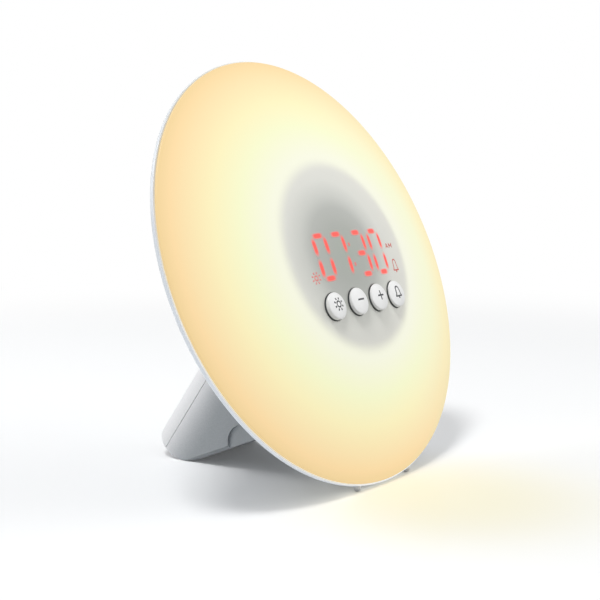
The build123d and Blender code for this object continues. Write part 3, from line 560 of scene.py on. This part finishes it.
def grow(name, tree, start, values, body="root", place=FACE):
    """Runs a tree on a start mesh, keeps the result as a plain mesh in its place, and mounts it."""
    holder = add_object(name + "_start", start)
    modifier = holder.modifiers.new("rule", "NODES")
    modifier.node_group = tree
    for item in tree.interface.items_tree:
        if item.name in values:
            modifier[item.identifier] = values[item.name]
    evaluated = holder.evaluated_get(bpy.context.evaluated_depsgraph_get())
    mesh = bpy.data.meshes.new_from_object(evaluated)
    for used in [holder, *[v for v in values.values() if isinstance(v, bpy.types.Object)]]:
        bpy.data.objects.remove(used)
    mesh.name = name
    mesh.transform(place)
    piece = add_object(name, mesh)
    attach(piece, body)
    print(name, "has", len(mesh.polygons), "faces")
    return piece


# %% [markdown]
# ## Round shells
# The opal front, the bowl behind it and the key caps are all turned parts: one outline, from the
# axis out and back to the axis, goes round once. The tree lays out a grid, takes each row's radius
# and height from one point of the outline and bends the row into a ring. Screw bosses are then
# joined on, with the end that stands in the wall bent to the wall's curve, and holes are drilled
# last, so that they go through both.

# %% The tree that turns, joins and drills
BOSS_SIDES, HOLE_SIDES = 32, 48
WELD = 0.002 * MM  # points closer than this become one, on the axis and at the seam


def pillars(tree, source, sides):
    """Closed cylinders on the points of an object, with each point's own radius and height."""
    read = add_node(tree, "GeometryNodeObjectInfo", {"Object": source}, transform_space="ORIGINAL")
    bar = add_node(tree, "GeometryNodeMeshCylinder", {"Vertices": sides, "Radius": 1.0,
                                                      "Depth": 1.0})
    raised = add_node(tree, "GeometryNodeTransform", {"Geometry": bar, "Translation": (0, 0, 0.5)})
    end = add_node(tree, STORE, {"Geometry": raised, "Name": "end",
                                 "Value": place_parts(tree)["Z"]}, data_type="FLOAT")
    radius = add_node(tree, NAMED, {"Name": "radius"}, data_type="FLOAT")
    height = add_node(tree, NAMED, {"Name": "height"}, data_type="FLOAT")
    size = add_node(tree, COMBINE, {"X": radius, "Y": radius, "Z": height})
    copies = add_node(tree, "GeometryNodeInstanceOnPoints", {
        "Points": read.outputs["Geometry"], "Instance": end, "Scale": size})
    return add_node(tree, "GeometryNodeRealizeInstances", {0: copies})


def turned_shell(tree, given):
    """A grid with a row for each point of the outline, bent into rings."""
    count = add_node(tree, "GeometryNodeAttributeDomainSize", {0: given["Geometry"]})
    across = add_node(tree, MATH, {0: given["Spokes"], 1: 1}, operation="ADD")
    grid = add_node(tree, "GeometryNodeMeshGrid", {"Vertices X": count, "Vertices Y": across})
    index = add_node(tree, "GeometryNodeInputIndex")
    rows = add_node(tree, MATH, {0: index, 1: across}, operation="DIVIDE")
    row = add_node(tree, MATH, {0: rows}, operation="FLOOR")
    outline = add_node(tree, "GeometryNodeSampleIndex", {
        "Geometry": given["Geometry"], "Value": add_node(tree, "GeometryNodeInputPosition"),
        "Index": row}, data_type="FLOAT_VECTOR")
    part = add_node(tree, SPLIT, {0: outline}).outputs
    spoke = add_node(tree, MATH, {0: index, 1: across}, operation="MODULO")
    turned = add_node(tree, MATH, {0: spoke, 1: math.tau}, operation="MULTIPLY")
    angle = add_node(tree, MATH, {0: turned, 1: given["Spokes"]}, operation="DIVIDE")
    bent = {"Z": part["Z"]}
    for axis, share_of_radius in (("X", "COSINE"), ("Y", "SINE")):
        share = add_node(tree, MATH, {0: angle}, operation=share_of_radius)
        bent[axis] = add_node(tree, MATH, {0: part["X"], 1: share}, operation="MULTIPLY")
    rings = add_node(tree, MOVE, {"Geometry": grid, "Position": add_node(tree, COMBINE, bent)})
    return add_node(tree, "GeometryNodeMergeByDistance", {"Geometry": rings, "Distance": WELD})


def bosses_in_wall(tree, given):
    """The bosses, with the ends that stand in the wall moved to the middle of the wall."""
    wall_end, wall_r = given["Wall end"], given["Wall radius"]
    end = add_node(tree, NAMED, {"Name": "end"}, data_type="FLOAT")
    in_wall = add_node(tree, "FunctionNodeCompare", {"A": end, "B": wall_end, "Epsilon": 0.1},
                       data_type="FLOAT", operation="EQUAL")
    part = place_parts(tree)
    flat = add_node(tree, COMBINE, {"X": part["X"], "Y": part["Y"]})
    off_axis = add_node(tree, VECTOR_MATH, {0: flat}, operation="LENGTH")
    off_square = add_node(tree, MATH, {0: off_axis, 1: 2.0}, operation="POWER")
    wall_square = add_node(tree, MATH, {0: wall_r, 1: 2.0}, operation="POWER")
    square = add_node(tree, MATH, {0: wall_square, 1: off_square}, operation="SUBTRACT")
    rise = add_node(tree, MATH, {0: square}, operation="SQRT")
    twice = add_node(tree, MATH, {0: wall_end, 1: 2.0}, operation="MULTIPLY")
    side = add_node(tree, MATH, {0: twice, 1: 1.0}, operation="SUBTRACT")  # +1 in front, -1 behind
    signed = add_node(tree, MATH, {0: side, 1: rise}, operation="MULTIPLY")
    height = add_node(tree, MATH, {0: given["Wall middle"], 1: signed}, operation="ADD")
    bent = add_node(tree, COMBINE, {"X": part["X"], "Y": part["Y"], "Z": height})
    return add_node(tree, MOVE, {"Geometry": pillars(tree, given["Bosses"], BOSS_SIDES),
                                 "Selection": in_wall, "Position": bent})


def turning_tree(name, material, drilled):
    """Turns an outline about the axis. If drilled, adds the bosses and cuts the holes."""
    tree, given = new_tree(name, {
        "Spokes": INT, "Bosses": OBJECT, "Holes": OBJECT, "Wall end": FLOAT,
        "Wall middle": FLOAT, "Wall radius": FLOAT})
    shell = turned_shell(tree, given)
    if drilled:
        both = add_node(tree, "GeometryNodeMeshBoolean", {"Mesh 2": shell}, operation="UNION")
        bosses = bosses_in_wall(tree, given)
        tree.links.new(bosses.outputs[0], both.inputs["Mesh 2"])  # it takes more than one mesh
        holes = pillars(tree, given["Holes"], HOLE_SIDES)
        shell = add_node(tree, "GeometryNodeMeshBoolean", {"Mesh 1": both, "Mesh 2": holes},
                         operation="DIFFERENCE")
    end_tree(tree, shell, material)
    return tree


# %% Outlines that run along a ball
def along_ball(start, end, steps, ball_r, middle, side=1):
    """Outline points on a ball about the axis, from radius start to radius end."""
    radii = [start + (end - start) * i / steps for i in range(steps + 1)]
    return [(r, 0, middle + side * math.sqrt(ball_r**2 - r**2)) for r in radii]


def edge_round(edge_r, round_r, ball_r, middle, side=1, steps=6):
    """A round that leads smoothly from a ball's outline into the straight wall at edge_r."""
    r = edge_r - round_r
    n = middle + side * math.sqrt((ball_r - round_r)**2 - r**2)
    first = math.atan2(abs(n - middle), r)
    angles = [first * (1 - i / steps) for i in range(steps + 1)]
    return [(r + round_r * math.cos(a), 0, n + side * round_r * math.sin(a)) for a in angles]


def pillar_set(name, rows):
    """A helper object from (x, v, low, high, radius) rows in millimetres."""
    mesh = start_mesh(name, [(x * MM, v * MM, low * MM) for x, v, low, high, radius in rows],
                      radius=[radius * MM for *_, radius in rows],
                      height=[(high - low) * MM for x, v, low, high, radius in rows])
    return add_object(name, mesh)


def on_circle(radius, *degrees):
    """Points on a circle about the axis, by their angles."""
    return [(radius * math.cos(math.radians(a)), radius * math.sin(math.radians(a)))
            for a in degrees]


# %% [markdown]
# ## The opal front
# On the real lamp this is one injection moulding, 2 mm thick, with a small round at its edge and a
# ring behind it that centres it in the bowl. Four round holes let the keys through, and four
# bosses behind the rim take its screws.

# %% The front
DOME_EDGE_R, DOME_RISE, DOME_WALL = 94.0 * MM, 19.3 * MM, 2.0 * MM
DOME_R = (DOME_EDGE_R**2 + DOME_RISE**2) / (2 * DOME_RISE)
DOME_MIDDLE = DOME_RISE - DOME_R
DOME_LIP = 0.4 * MM
SEAT_N = -0.9 * MM
TONGUE_R, TONGUE_T, TONGUE_H = 90.0 * MM, 1.6 * MM, 1.9 * MM
KEY_PITCH, KEY_ROW = 14.87, -20.6  # in millimetres, as the rows of holes are
KEY_X = {name: (i - 1.5) * KEY_PITCH for i, name in enumerate(("light", "minus", "plus", "alarm"))}
KEY_HOLE_R = 6.05
RIM_SCREWS = on_circle(80, 45, 135, 225, 315)
PILOT_R, CLEAR_R, HEAD_HOLE_R = 1.25, 1.7, 3.3


def dome_n(r, wall=0.0):
    """Height of the dome, or of its inside, at radius r from the axis."""
    return DOME_MIDDLE + math.sqrt((DOME_R - wall)**2 - r**2)


lip = edge_round(DOME_EDGE_R, DOME_LIP, DOME_R, DOME_MIDDLE, steps=5)
tongue_in = TONGUE_R - TONGUE_T
front_outline = [
    *along_ball(0, lip[0][0], 40, DOME_R, DOME_MIDDLE)[:-1], *lip, (DOME_EDGE_R, 0, SEAT_N),
    (TONGUE_R, 0, SEAT_N), (TONGUE_R, 0, SEAT_N - TONGUE_H), (tongue_in, 0, SEAT_N - TONGUE_H),
    *along_ball(tongue_in, 0, 24, DOME_R - DOME_WALL, DOME_MIDDLE)]
front_bosses = [(x, v, -0.2, 6.0, 3.6) for x, v in RIM_SCREWS]
front_holes = [(x, KEY_ROW, 8.0, 30.0, KEY_HOLE_R) for x in KEY_X.values()]
front_holes += [(x, v, -2.0, 2.6, PILOT_R) for x, v in RIM_SCREWS]

front = grow("diffuser_front", turning_tree("turned_front", FINISHES["diffuser"], drilled=True),
             start_mesh("front_outline", front_outline),
             {"Spokes": 240, "Bosses": pillar_set("front_bosses", front_bosses),
              "Holes": pillar_set("front_holes", front_holes), "Wall end": 1.0,
              "Wall middle": DOME_MIDDLE, "Wall radius": DOME_R - DOME_WALL / 2})
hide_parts("diffuser_dome")

# %% [markdown]
# ## The bowl
# Behind the front sits a shallow bowl of white ABS. From outside one sees its rim, a few
# millimetres wide, and the smooth back. Inside it carries two round walls for the clock and the
# ring of diodes, and the bosses that the screws go through. The outline holds the walls too, so
# the turning tree makes them in the same pass.

# %% The bowl
RIM_R, RIM_ROUND = 94.6 * MM, 1.5 * MM
BOWL_R, BOWL_MIDDLE, BOWL_WALL = 200.0 * MM, 173.0 * MM, 2.2 * MM
BOWL_INNER_R = BOWL_R - BOWL_WALL
STEP_W, STEP_H = 1.4 * MM, 0.3 * MM  # the rebate beside the seat, which shows as a fine line
RING_TOP_N = -6.6 * MM
CLOCK_RING = (40.6 * MM, 44.6 * MM)
DIODE_RING = (56.5 * MM, 58.5 * MM)
SEAT_IN_R = TONGUE_R + 0.2 * MM
CLOCK_SCREWS = on_circle(37.8, 90, 210, 330)
DIODE_SCREWS = on_circle(52.5, 60, 180, 300)
STAND_SCREWS = [(x, v, top) for v, top in ((-13, -22.1), (-50, -16.2)) for x in (-16.5, 16.5)]

rim = edge_round(RIM_R, RIM_ROUND, BOWL_R, BOWL_MIDDLE, side=-1, steps=8)
inner = (BOWL_INNER_R, BOWL_MIDDLE, -1)
bowl_outline = [
    *along_ball(0, CLOCK_RING[0], 14, *inner), *[(r, 0, RING_TOP_N) for r in CLOCK_RING],
    *along_ball(CLOCK_RING[1], DIODE_RING[0], 5, *inner), *[(r, 0, RING_TOP_N) for r in DIODE_RING],
    *along_ball(DIODE_RING[1], SEAT_IN_R, 12, *inner), (SEAT_IN_R, 0, SEAT_N),
    (RIM_R - STEP_W, 0, SEAT_N), (RIM_R - STEP_W, 0, SEAT_N - STEP_H), (RIM_R, 0, SEAT_N - STEP_H),
    *reversed(rim), *along_ball(rim[0][0], 0, 40, BOWL_R, BOWL_MIDDLE, -1)[1:]]
bowl_bosses = [(x, v, -15, -0.2, 4.0) for x, v in RIM_SCREWS]
bowl_bosses += [(x, v, -24, -6.6, 3.6) for x, v in CLOCK_SCREWS]
bowl_bosses += [(x, v, -24, -6.6, 2.8) for x, v in DIODE_SCREWS]
bowl_bosses += [(x, v, -26, top, 4.0) for x, v, top in STAND_SCREWS]
bowl_holes = [(x, v, -16, 1, CLEAR_R) for x, v in RIM_SCREWS]
bowl_holes += [(x, v, -16, -4.6, HEAD_HOLE_R) for x, v in RIM_SCREWS]
bowl_holes += [(x, v, -30, -5, CLEAR_R) for x, v in CLOCK_SCREWS]
bowl_holes += [(x, v, -30, -14, HEAD_HOLE_R) for x, v in CLOCK_SCREWS]
bowl_holes += [(x, v, -13, -5, 1.0) for x, v in DIODE_SCREWS]
bowl_holes += [(x, v, -30, -5, CLEAR_R) for x, v, top in STAND_SCREWS]
bowl_holes += [(0, -30, -30, -15, 5.0), (42.6, 0, -14, -6, 3.0)]  # for the leads

bowl = grow("rear_bowl", turning_tree("turned_bowl", FINISHES["housing"], drilled=True),
            start_mesh("bowl_outline", bowl_outline),
            {"Spokes": 288, "Bosses": pillar_set("bowl_bosses", bowl_bosses),
             "Holes": pillar_set("bowl_holes", bowl_holes), "Wall end": 0.0,
             "Wall middle": BOWL_MIDDLE, "Wall radius": BOWL_R - BOWL_WALL / 2})
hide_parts("rear_housing")

# %% [markdown]
# ## The key caps
# Each cap is a little mushroom: a crowned disc that stands out of its hole, a flange that keeps it
# in, and a stem that presses its switch. The caps differ only in height, because the dome under
# the outer ones is lower. The top is glossy white, and the foot just above the front carries a
# painted dark grey shade, which stands for the shadow in the gap round the key. The tree finds
# the foot by its distance from the middle of the ball that the front is part of.

# %% The caps
KEY_R, KEY_CROWN, KEY_PROUD, KEY_EDGE = 5.75 * MM, 0.7 * MM, 1.5 * MM, 0.5 * MM
FLANGE_R, FLANGE_T = 6.5 * MM, 1.2 * MM
FLANGE_GAP = 0.2 * MM  # between the flange and the inside of the front
STEM_R, STEM_END = 1.5 * MM, 10.6 * MM
CROWN_R = (KEY_R**2 + KEY_CROWN**2) / (2 * KEY_CROWN)
# painted shade on the caps' feet: full up to the first height above the front, gone above the second
SHADE_FULL_HEIGHT, SHADE_END_HEIGHT = 0.45 * MM, 0.85 * MM  # heights above the front


def key_finish():
    """Glossy white ABS with painted shade on its foot, which shows as a thin grey crescent round each key."""
    tree, place, finish = new_material("white_abs_key_gloss")
    off_ball = add_node(tree, VECTOR_MATH, {0: place, 1: CENTRE + NORMAL * DOME_MIDDLE},
                        operation="DISTANCE")
    white = add_node(tree, MAP_RANGE, {"Value": off_ball, "From Min": DOME_R + SHADE_FULL_HEIGHT,
                                       "From Max": DOME_R + SHADE_END_HEIGHT},
                     interpolation_type="SMOOTHSTEP")
    # the dark grey is painted shade for the gap round the key; the white is the cap's own colour
    colour = add_node(tree, RAMP, {"Fac": white}, [(0.0, "4c4f51"), (1.0, "f6f6f5")])
    ripple = add_node(tree, NOISE, {"Vector": place, "Scale": 1 / (3 * MM), "Detail": 1.0})
    return finish(grained(tree, ripple, 0.1, 0.02, {
        "Base Color": colour, "Roughness": 0.28, "IOR": 1.53}))


def crown_middle(x):
    """Height of the centre of the ball that a cap's top is cut from."""
    return dome_n(math.hypot(x, KEY_ROW) * MM) + KEY_PROUD + KEY_CROWN - CROWN_R


key_tree = turning_tree("turned_key", key_finish(), drilled=False)
for name, x in KEY_X.items():
    middle = crown_middle(x)
    flange_n = dome_n(math.hypot(x, KEY_ROW) * MM + FLANGE_R, DOME_WALL) - FLANGE_GAP
    edge = edge_round(KEY_R, KEY_EDGE, CROWN_R, middle)
    key_outline = [*along_ball(0, edge[0][0], 8, CROWN_R, middle)[:-1], *edge, (KEY_R, 0, flange_n),
                   (FLANGE_R, 0, flange_n), (FLANGE_R, 0, flange_n - FLANGE_T),
                   (STEM_R, 0, flange_n - FLANGE_T), (STEM_R, 0, STEM_END), (0, 0, STEM_END)]
    cap = grow("key_cap_" + name, key_tree, start_mesh("key_outline", key_outline), {"Spokes": 72},
               body="key_" + name,
               place=FACE @ Matrix.Translation((x * MM, KEY_ROW * MM, 0)))
    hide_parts("button_" + name)

# %% [markdown]
# ## Signs printed on the keys and shining through the front
# A printed sign is a line of even width on a curved surface. It is drawn as a few points and edges
# seen from above. The tree divides them, so that a straight line can follow the curve, sweeps a
# small round section along them, and then lets the line down on the ball that the surface is part
# of, flattened to the thickness of a print.

# %% The tree that draws lines on a ball
PRINT_SHARE = 0.12  # a line's height as a share of its width
LINE_CUTS, LINE_SIDES = 5, 8


def on_ball(tree, given, geometry):
    """Lets points down on a ball, keeping PRINT_SHARE of their own height."""
    part = place_parts(tree)
    flat = add_node(tree, COMBINE, {"X": part["X"], "Y": part["Y"]})
    middle = add_node(tree, SPLIT, {0: given["Ball middle"]}).outputs
    flat_middle = add_node(tree, COMBINE, {"X": middle["X"], "Y": middle["Y"]})
    off = add_node(tree, VECTOR_MATH, {0: flat, 1: flat_middle}, operation="DISTANCE")
    off_square = add_node(tree, MATH, {0: off, 1: 2.0}, operation="POWER")
    ball_square = add_node(tree, MATH, {0: given["Ball radius"], 1: 2.0}, operation="POWER")
    square = add_node(tree, MATH, {0: ball_square, 1: off_square}, operation="SUBTRACT")
    rise = add_node(tree, MATH, {0: square}, operation="SQRT")
    under = add_node(tree, MATH, {0: middle["Z"], 1: rise}, operation="ADD")
    print_rise = add_node(tree, MATH, {0: part["Z"], 1: PRINT_SHARE}, operation="MULTIPLY")
    height = add_node(tree, MATH, {0: under, 1: print_rise}, operation="ADD")
    laid = add_node(tree, COMBINE, {"X": part["X"], "Y": part["Y"], "Z": height})
    return add_node(tree, MOVE, {"Geometry": geometry, "Position": laid})


def line_tree(name, material):
    """Sweeps a round section along edges, as wide as each point says, and lays it on a ball."""
    tree, given = new_tree(name, {"Ball middle": VECTOR, "Ball radius": FLOAT})
    path = add_node(tree, "GeometryNodeMeshToCurve", {"Mesh": given["Geometry"]})
    finer = add_node(tree, "GeometryNodeSubdivideCurve", {"Curve": path, "Cuts": LINE_CUTS})
    section = add_node(tree, "GeometryNodeCurvePrimitiveCircle", {"Resolution": LINE_SIDES,
                                                                  "Radius": 0.5})
    width = add_node(tree, NAMED, {"Name": "width"}, data_type="FLOAT")
    line = add_node(tree, "GeometryNodeCurveToMesh", {
        "Curve": finer, "Profile Curve": section, "Scale": width, "Fill Caps": True})
    end_tree(tree, on_ball(tree, given, line), material, ALL_SMOOTH)
    return tree


# %% The signs, as strokes: lists of (x, v) points and a width, in millimetres
def ring_stroke(radius, width, count=24):
    turns = [math.tau * i / count for i in range(count + 1)]
    return [(radius * math.cos(a), radius * math.sin(a)) for a in turns], width


def ray_strokes(inside, outside, width, count=8):
    turns = [math.tau * (i + 0.5) / count for i in range(count)]
    return [([(r * math.cos(a), r * math.sin(a)) for r in (inside, outside)], width) for a in turns]


def bell_strokes(size, width):
    """A bell's outline: a narrow round crown, sides that widen, a flat lip and a clapper."""
    crown = [(0.24 * math.cos(math.radians(a)), 0.26 + 0.24 * math.sin(math.radians(a)))
             for a in range(0, 181, 30)]
    outline = [(0.42, -0.36), (0.29, -0.18), *crown, (-0.29, -0.18), (-0.42, -0.36), (0.42, -0.36)]
    clapper = [(-0.07, -0.47), (0.07, -0.47)]
    return [([(x * size, v * size) for x, v in points], share * width)
            for points, share in ((outline, 1.0), (clapper, 1.5))]


SUN = [ring_stroke(1.25, 0.65), *ray_strokes(1.95, 2.9, 0.75)]
SMALL_SUN = [ring_stroke(0.95, 0.75), *ray_strokes(1.7, 2.7, 0.75)]
MINUS = [([(-2.1, 0), (2.1, 0)], 0.75)]
PLUS = [([(-2.0, 0), (2.0, 0)], 0.75), ([(0, -2.0), (0, 2.0)], 0.75)]
MORNING = [([(-2.8, -1.0), (-1.8, 1.0), (-0.8, -1.0)], 0.55), ([(-2.3, -0.35), (-1.3, -0.35)], 0.4),
           ([(0.3, -1.0), (0.3, 1.0), (1.5, -0.5), (2.7, 1.0), (2.7, -1.0)], 0.55)]


def strokes_mesh(name, strokes, x, v):
    """The strokes of a sign as one start mesh, with the sign's middle at (x, v)."""
    points, edges, widths = [], [], []
    for stroke, width in strokes:
        first = len(points)
        points += [((x + px) * MM, (v + pv) * MM, 0) for px, pv in stroke]
        edges += [(first + i, first + i + 1) for i in range(len(stroke) - 1)]
        widths += [width * MM] * len(stroke)
    return start_mesh(name, points, edges, width=widths)


# %% Signs on the keys
SIGN_OFFSET = (0.30, 0.45)  # the signs sit a little off the caps' middles
KEY_SIGNS = {"light": SUN, "minus": MINUS, "plus": PLUS, "alarm": bell_strokes(5.0, 0.7)}


def ink_finish():
    """Dark grey pad-printing ink: nearly matt, and a touch uneven where it is thin."""
    tree, place, finish = new_material("grey_printing_ink")
    thin = add_node(tree, NOISE, {"Vector": place, "Scale": 1 / (0.5 * MM), "Detail": 2.0})
    colour = add_node(tree, RAMP, {"Fac": thin}, [(0.3, "37393b"), (0.7, "4a4c4e")])
    return finish(add_node(tree, "ShaderNodeBsdfPrincipled", {
        "Base Color": colour, "Roughness": 0.55, "IOR": 1.5}))


sign_tree = line_tree("printed_sign", ink_finish())
for name, x in KEY_X.items():
    drawn = strokes_mesh("sign", KEY_SIGNS[name], x + SIGN_OFFSET[0], KEY_ROW + SIGN_OFFSET[1])
    grow("sign_" + name, sign_tree, drawn,
         {"Ball middle": (x * MM, KEY_ROW * MM, crown_middle(x)), "Ball radius": CROWN_R},
         body="key_" + name)

# %% [markdown]
# ## The figures
# The display lies behind the opal front, so its figures reach the eye as soft-edged patches of red
# on the front's own surface. Each lit bar is a lens-shaped patch on the dome, a few hundredths of
# a millimetre thick, that stores how far each of its points is from its middle. The finish turns
# that distance into light: full red in the middle, and at the edge the same painted grey shade as
# the front over the plate, so that no outline shows.

# %% The tree that lays soft patches
PATCH_RISE = 0.35 * MM  # before PRINT_SHARE flattens it
ROUNDING = 3.2  # 2 gives ellipses, and more gives fuller corners
SOFT_FROM, SOFT_TO = 1.0, 0.42  # the red grows over these shares of the way in from the edge


def patch_tree(material):
    tree, given = new_tree("soft_patches", {"Ball middle": VECTOR, "Ball radius": FLOAT})
    ball = add_node(tree, "GeometryNodeMeshUVSphere", {"Segments": 40, "Rings": 16, "Radius": 1.0})
    part = place_parts(tree)
    flat = add_node(tree, COMBINE, {"X": part["X"], "Y": part["Y"]})
    far = add_node(tree, VECTOR_MATH, {0: flat}, operation="LENGTH")
    marked = add_node(tree, STORE, {"Geometry": ball, "Name": "from middle", "Value": far},
                      data_type="FLOAT")
    full = {"Z": part["Z"]}
    for axis in ("X", "Y"):
        share = add_node(tree, MATH, {0: part[axis], 1: far}, operation="DIVIDE")
        size = add_node(tree, MATH, {0: share}, operation="ABSOLUTE")
        grown = add_node(tree, MATH, {0: size, 1: 2 / ROUNDING}, operation="POWER")
        sign = add_node(tree, MATH, {0: part[axis]}, operation="SIGN")
        signed = add_node(tree, MATH, {0: sign, 1: grown}, operation="MULTIPLY")
        full[axis] = add_node(tree, MATH, {0: far, 1: signed}, operation="MULTIPLY")
    fuller = add_node(tree, MOVE, {"Geometry": marked, "Position": add_node(tree, COMBINE, full)})
    half_width = add_node(tree, NAMED, {"Name": "half width"}, data_type="FLOAT")
    half_height = add_node(tree, NAMED, {"Name": "half height"}, data_type="FLOAT")
    scale = add_node(tree, COMBINE, {"X": half_width, "Y": half_height, "Z": PATCH_RISE})
    copies = add_node(tree, "GeometryNodeInstanceOnPoints", {
        "Points": given["Geometry"], "Instance": fuller, "Scale": scale})
    real = add_node(tree, "GeometryNodeRealizeInstances", {0: copies})
    end_tree(tree, on_ball(tree, given, real), material, ALL_SMOOTH)
    return tree


def patches_mesh(rows):
    """A start mesh from (x, v, half width, half height) rows in millimetres."""
    return start_mesh("patches", [(x * MM, v * MM, 0) for x, v, *_ in rows],
                      **{"half width": [width * MM for *_, width, height in rows],
                         "half height": [height * MM for *_, height in rows]})


def figure_finish(name, red, share):
    """Red light through opal plastic: a lit core that fades into the front's painted grey shade."""
    tree, place, finish = new_material(name)
    far = add_node(tree, "ShaderNodeAttribute", attribute_name="from middle").outputs["Fac"]
    core = add_node(tree, MAP_RANGE, {"Value": far, "From Min": SOFT_FROM, "From Max": SOFT_TO,
                                      "To Max": share}, interpolation_type="SMOOTHSTEP")
    base = add_node(tree, MIX, {"Factor": core, MIX_A: painted_plate_shade(tree, place),
                                MIX_B: linear("000000")}, data_type="RGBA")
    return finish(add_node(tree, "ShaderNodeBsdfPrincipled", {
        "Base Color": base, "Roughness": 0.5, "IOR": 1.49,
        "Emission Color": linear(red), "Emission Strength": core}))


# %% Which bars are lit, and where
BAR_HALF = (3.8, 1.55)  # half the width and height of a flat bar, soft edge and all
STROKE_HALF = (1.5, 4.6)
DIGIT_HALF = 9.15  # from a digit's middle to the middles of its top and bottom bars
STROKE_V = 4.6  # from a digit's middle to the middles of its upright strokes
BARS = {"top": (0, 1), "middle": (0, 0), "bottom": (0, -1)}
STROKES = {"upper left": (-1, 1), "upper right": (1, 1), "lower left": (-1, -1),
           "lower right": (1, -1)}
UNLIT = {0: ["middle"], 3: ["upper left", "lower left"],
         7: ["middle", "bottom", "upper left", "lower left"]}
SHOWN = [(0, -19.8, 0.12, 3.65), (7, -8.1, -0.35, 3.65), (3, 6.1, -0.77, 4.0),
         (0, 19.2, -0.96, 4.3)]  # digit, x and v of its middle, half width

patches = []
for digit, middle_x, middle_v, half in SHOWN:
    for part_name, (side, level) in {**BARS, **STROKES}.items():
        if part_name in UNLIT[digit]:
            continue
        rise, halves = (DIGIT_HALF, BAR_HALF) if part_name in BARS else (STROKE_V, STROKE_HALF)
        patches.append((middle_x + side * half, middle_v + level * rise, *halves))
dome_ball = {"Ball middle": (0, 0, DOME_MIDDLE), "Ball radius": DOME_R}
grow("lit_figures", patch_tree(figure_finish("red_light_in_opal", "ff4a3c", 1.0)),
     patches_mesh(patches), dome_ball)

# %% The colon and the small signs beside the figures
COLON = [(-1.2, 3.7, 0.95, 1.15), (-1.2, -5.0, 0.95, 1.15)]
HALF_LIT = 0.5  # share of a thin sign's colour that is light; the room shows the rest


def glow_line_finish(name, dark, pale):
    """Thin signs lit in red behind the opal front, duller than the figures."""
    tree, place, finish = new_material(name)
    uneven = add_node(tree, NOISE, {"Vector": place, "Scale": 1 / (1.2 * MM), "Detail": 1.0})
    colour = add_node(tree, RAMP, {"Fac": uneven}, [(0.3, dark), (0.7, pale)])
    base = add_node(tree, VECTOR_MATH, {0: colour, "Scale": HALF_LIT}, operation="SCALE")
    return finish(add_node(tree, "ShaderNodeBsdfPrincipled", {
        "Base Color": base, "Roughness": 0.5, "IOR": 1.49,
        "Emission Color": colour, "Emission Strength": HALF_LIT}))


grow("lit_colon", patch_tree(figure_finish("faint_red_light_in_opal", "e84a42", 0.7)),
     patches_mesh(COLON), dome_ball)

FAINT = line_tree("faint_sign", glow_line_finish("faint_red_line_in_opal", "d8807a", "e09892"))
CLEAR = line_tree("clear_sign", glow_line_finish("clear_red_line_in_opal", "bf4c40", "c85c50"))
LIT_SIGNS = {  # name: (tree, strokes, x, v)
    "lit_sun": (FAINT, SMALL_SUN, -28.4, -7.8),
    "lit_bell": (CLEAR, bell_strokes(5.6, 0.6), 30.7, -8.2),
    "lit_morning": (CLEAR, MORNING, 30.5, 1.0)}
for name, (sign_rule, strokes, x, v) in LIT_SIGNS.items():
    grow(name, sign_rule, strokes_mesh(name, strokes, x, v), dome_ball)
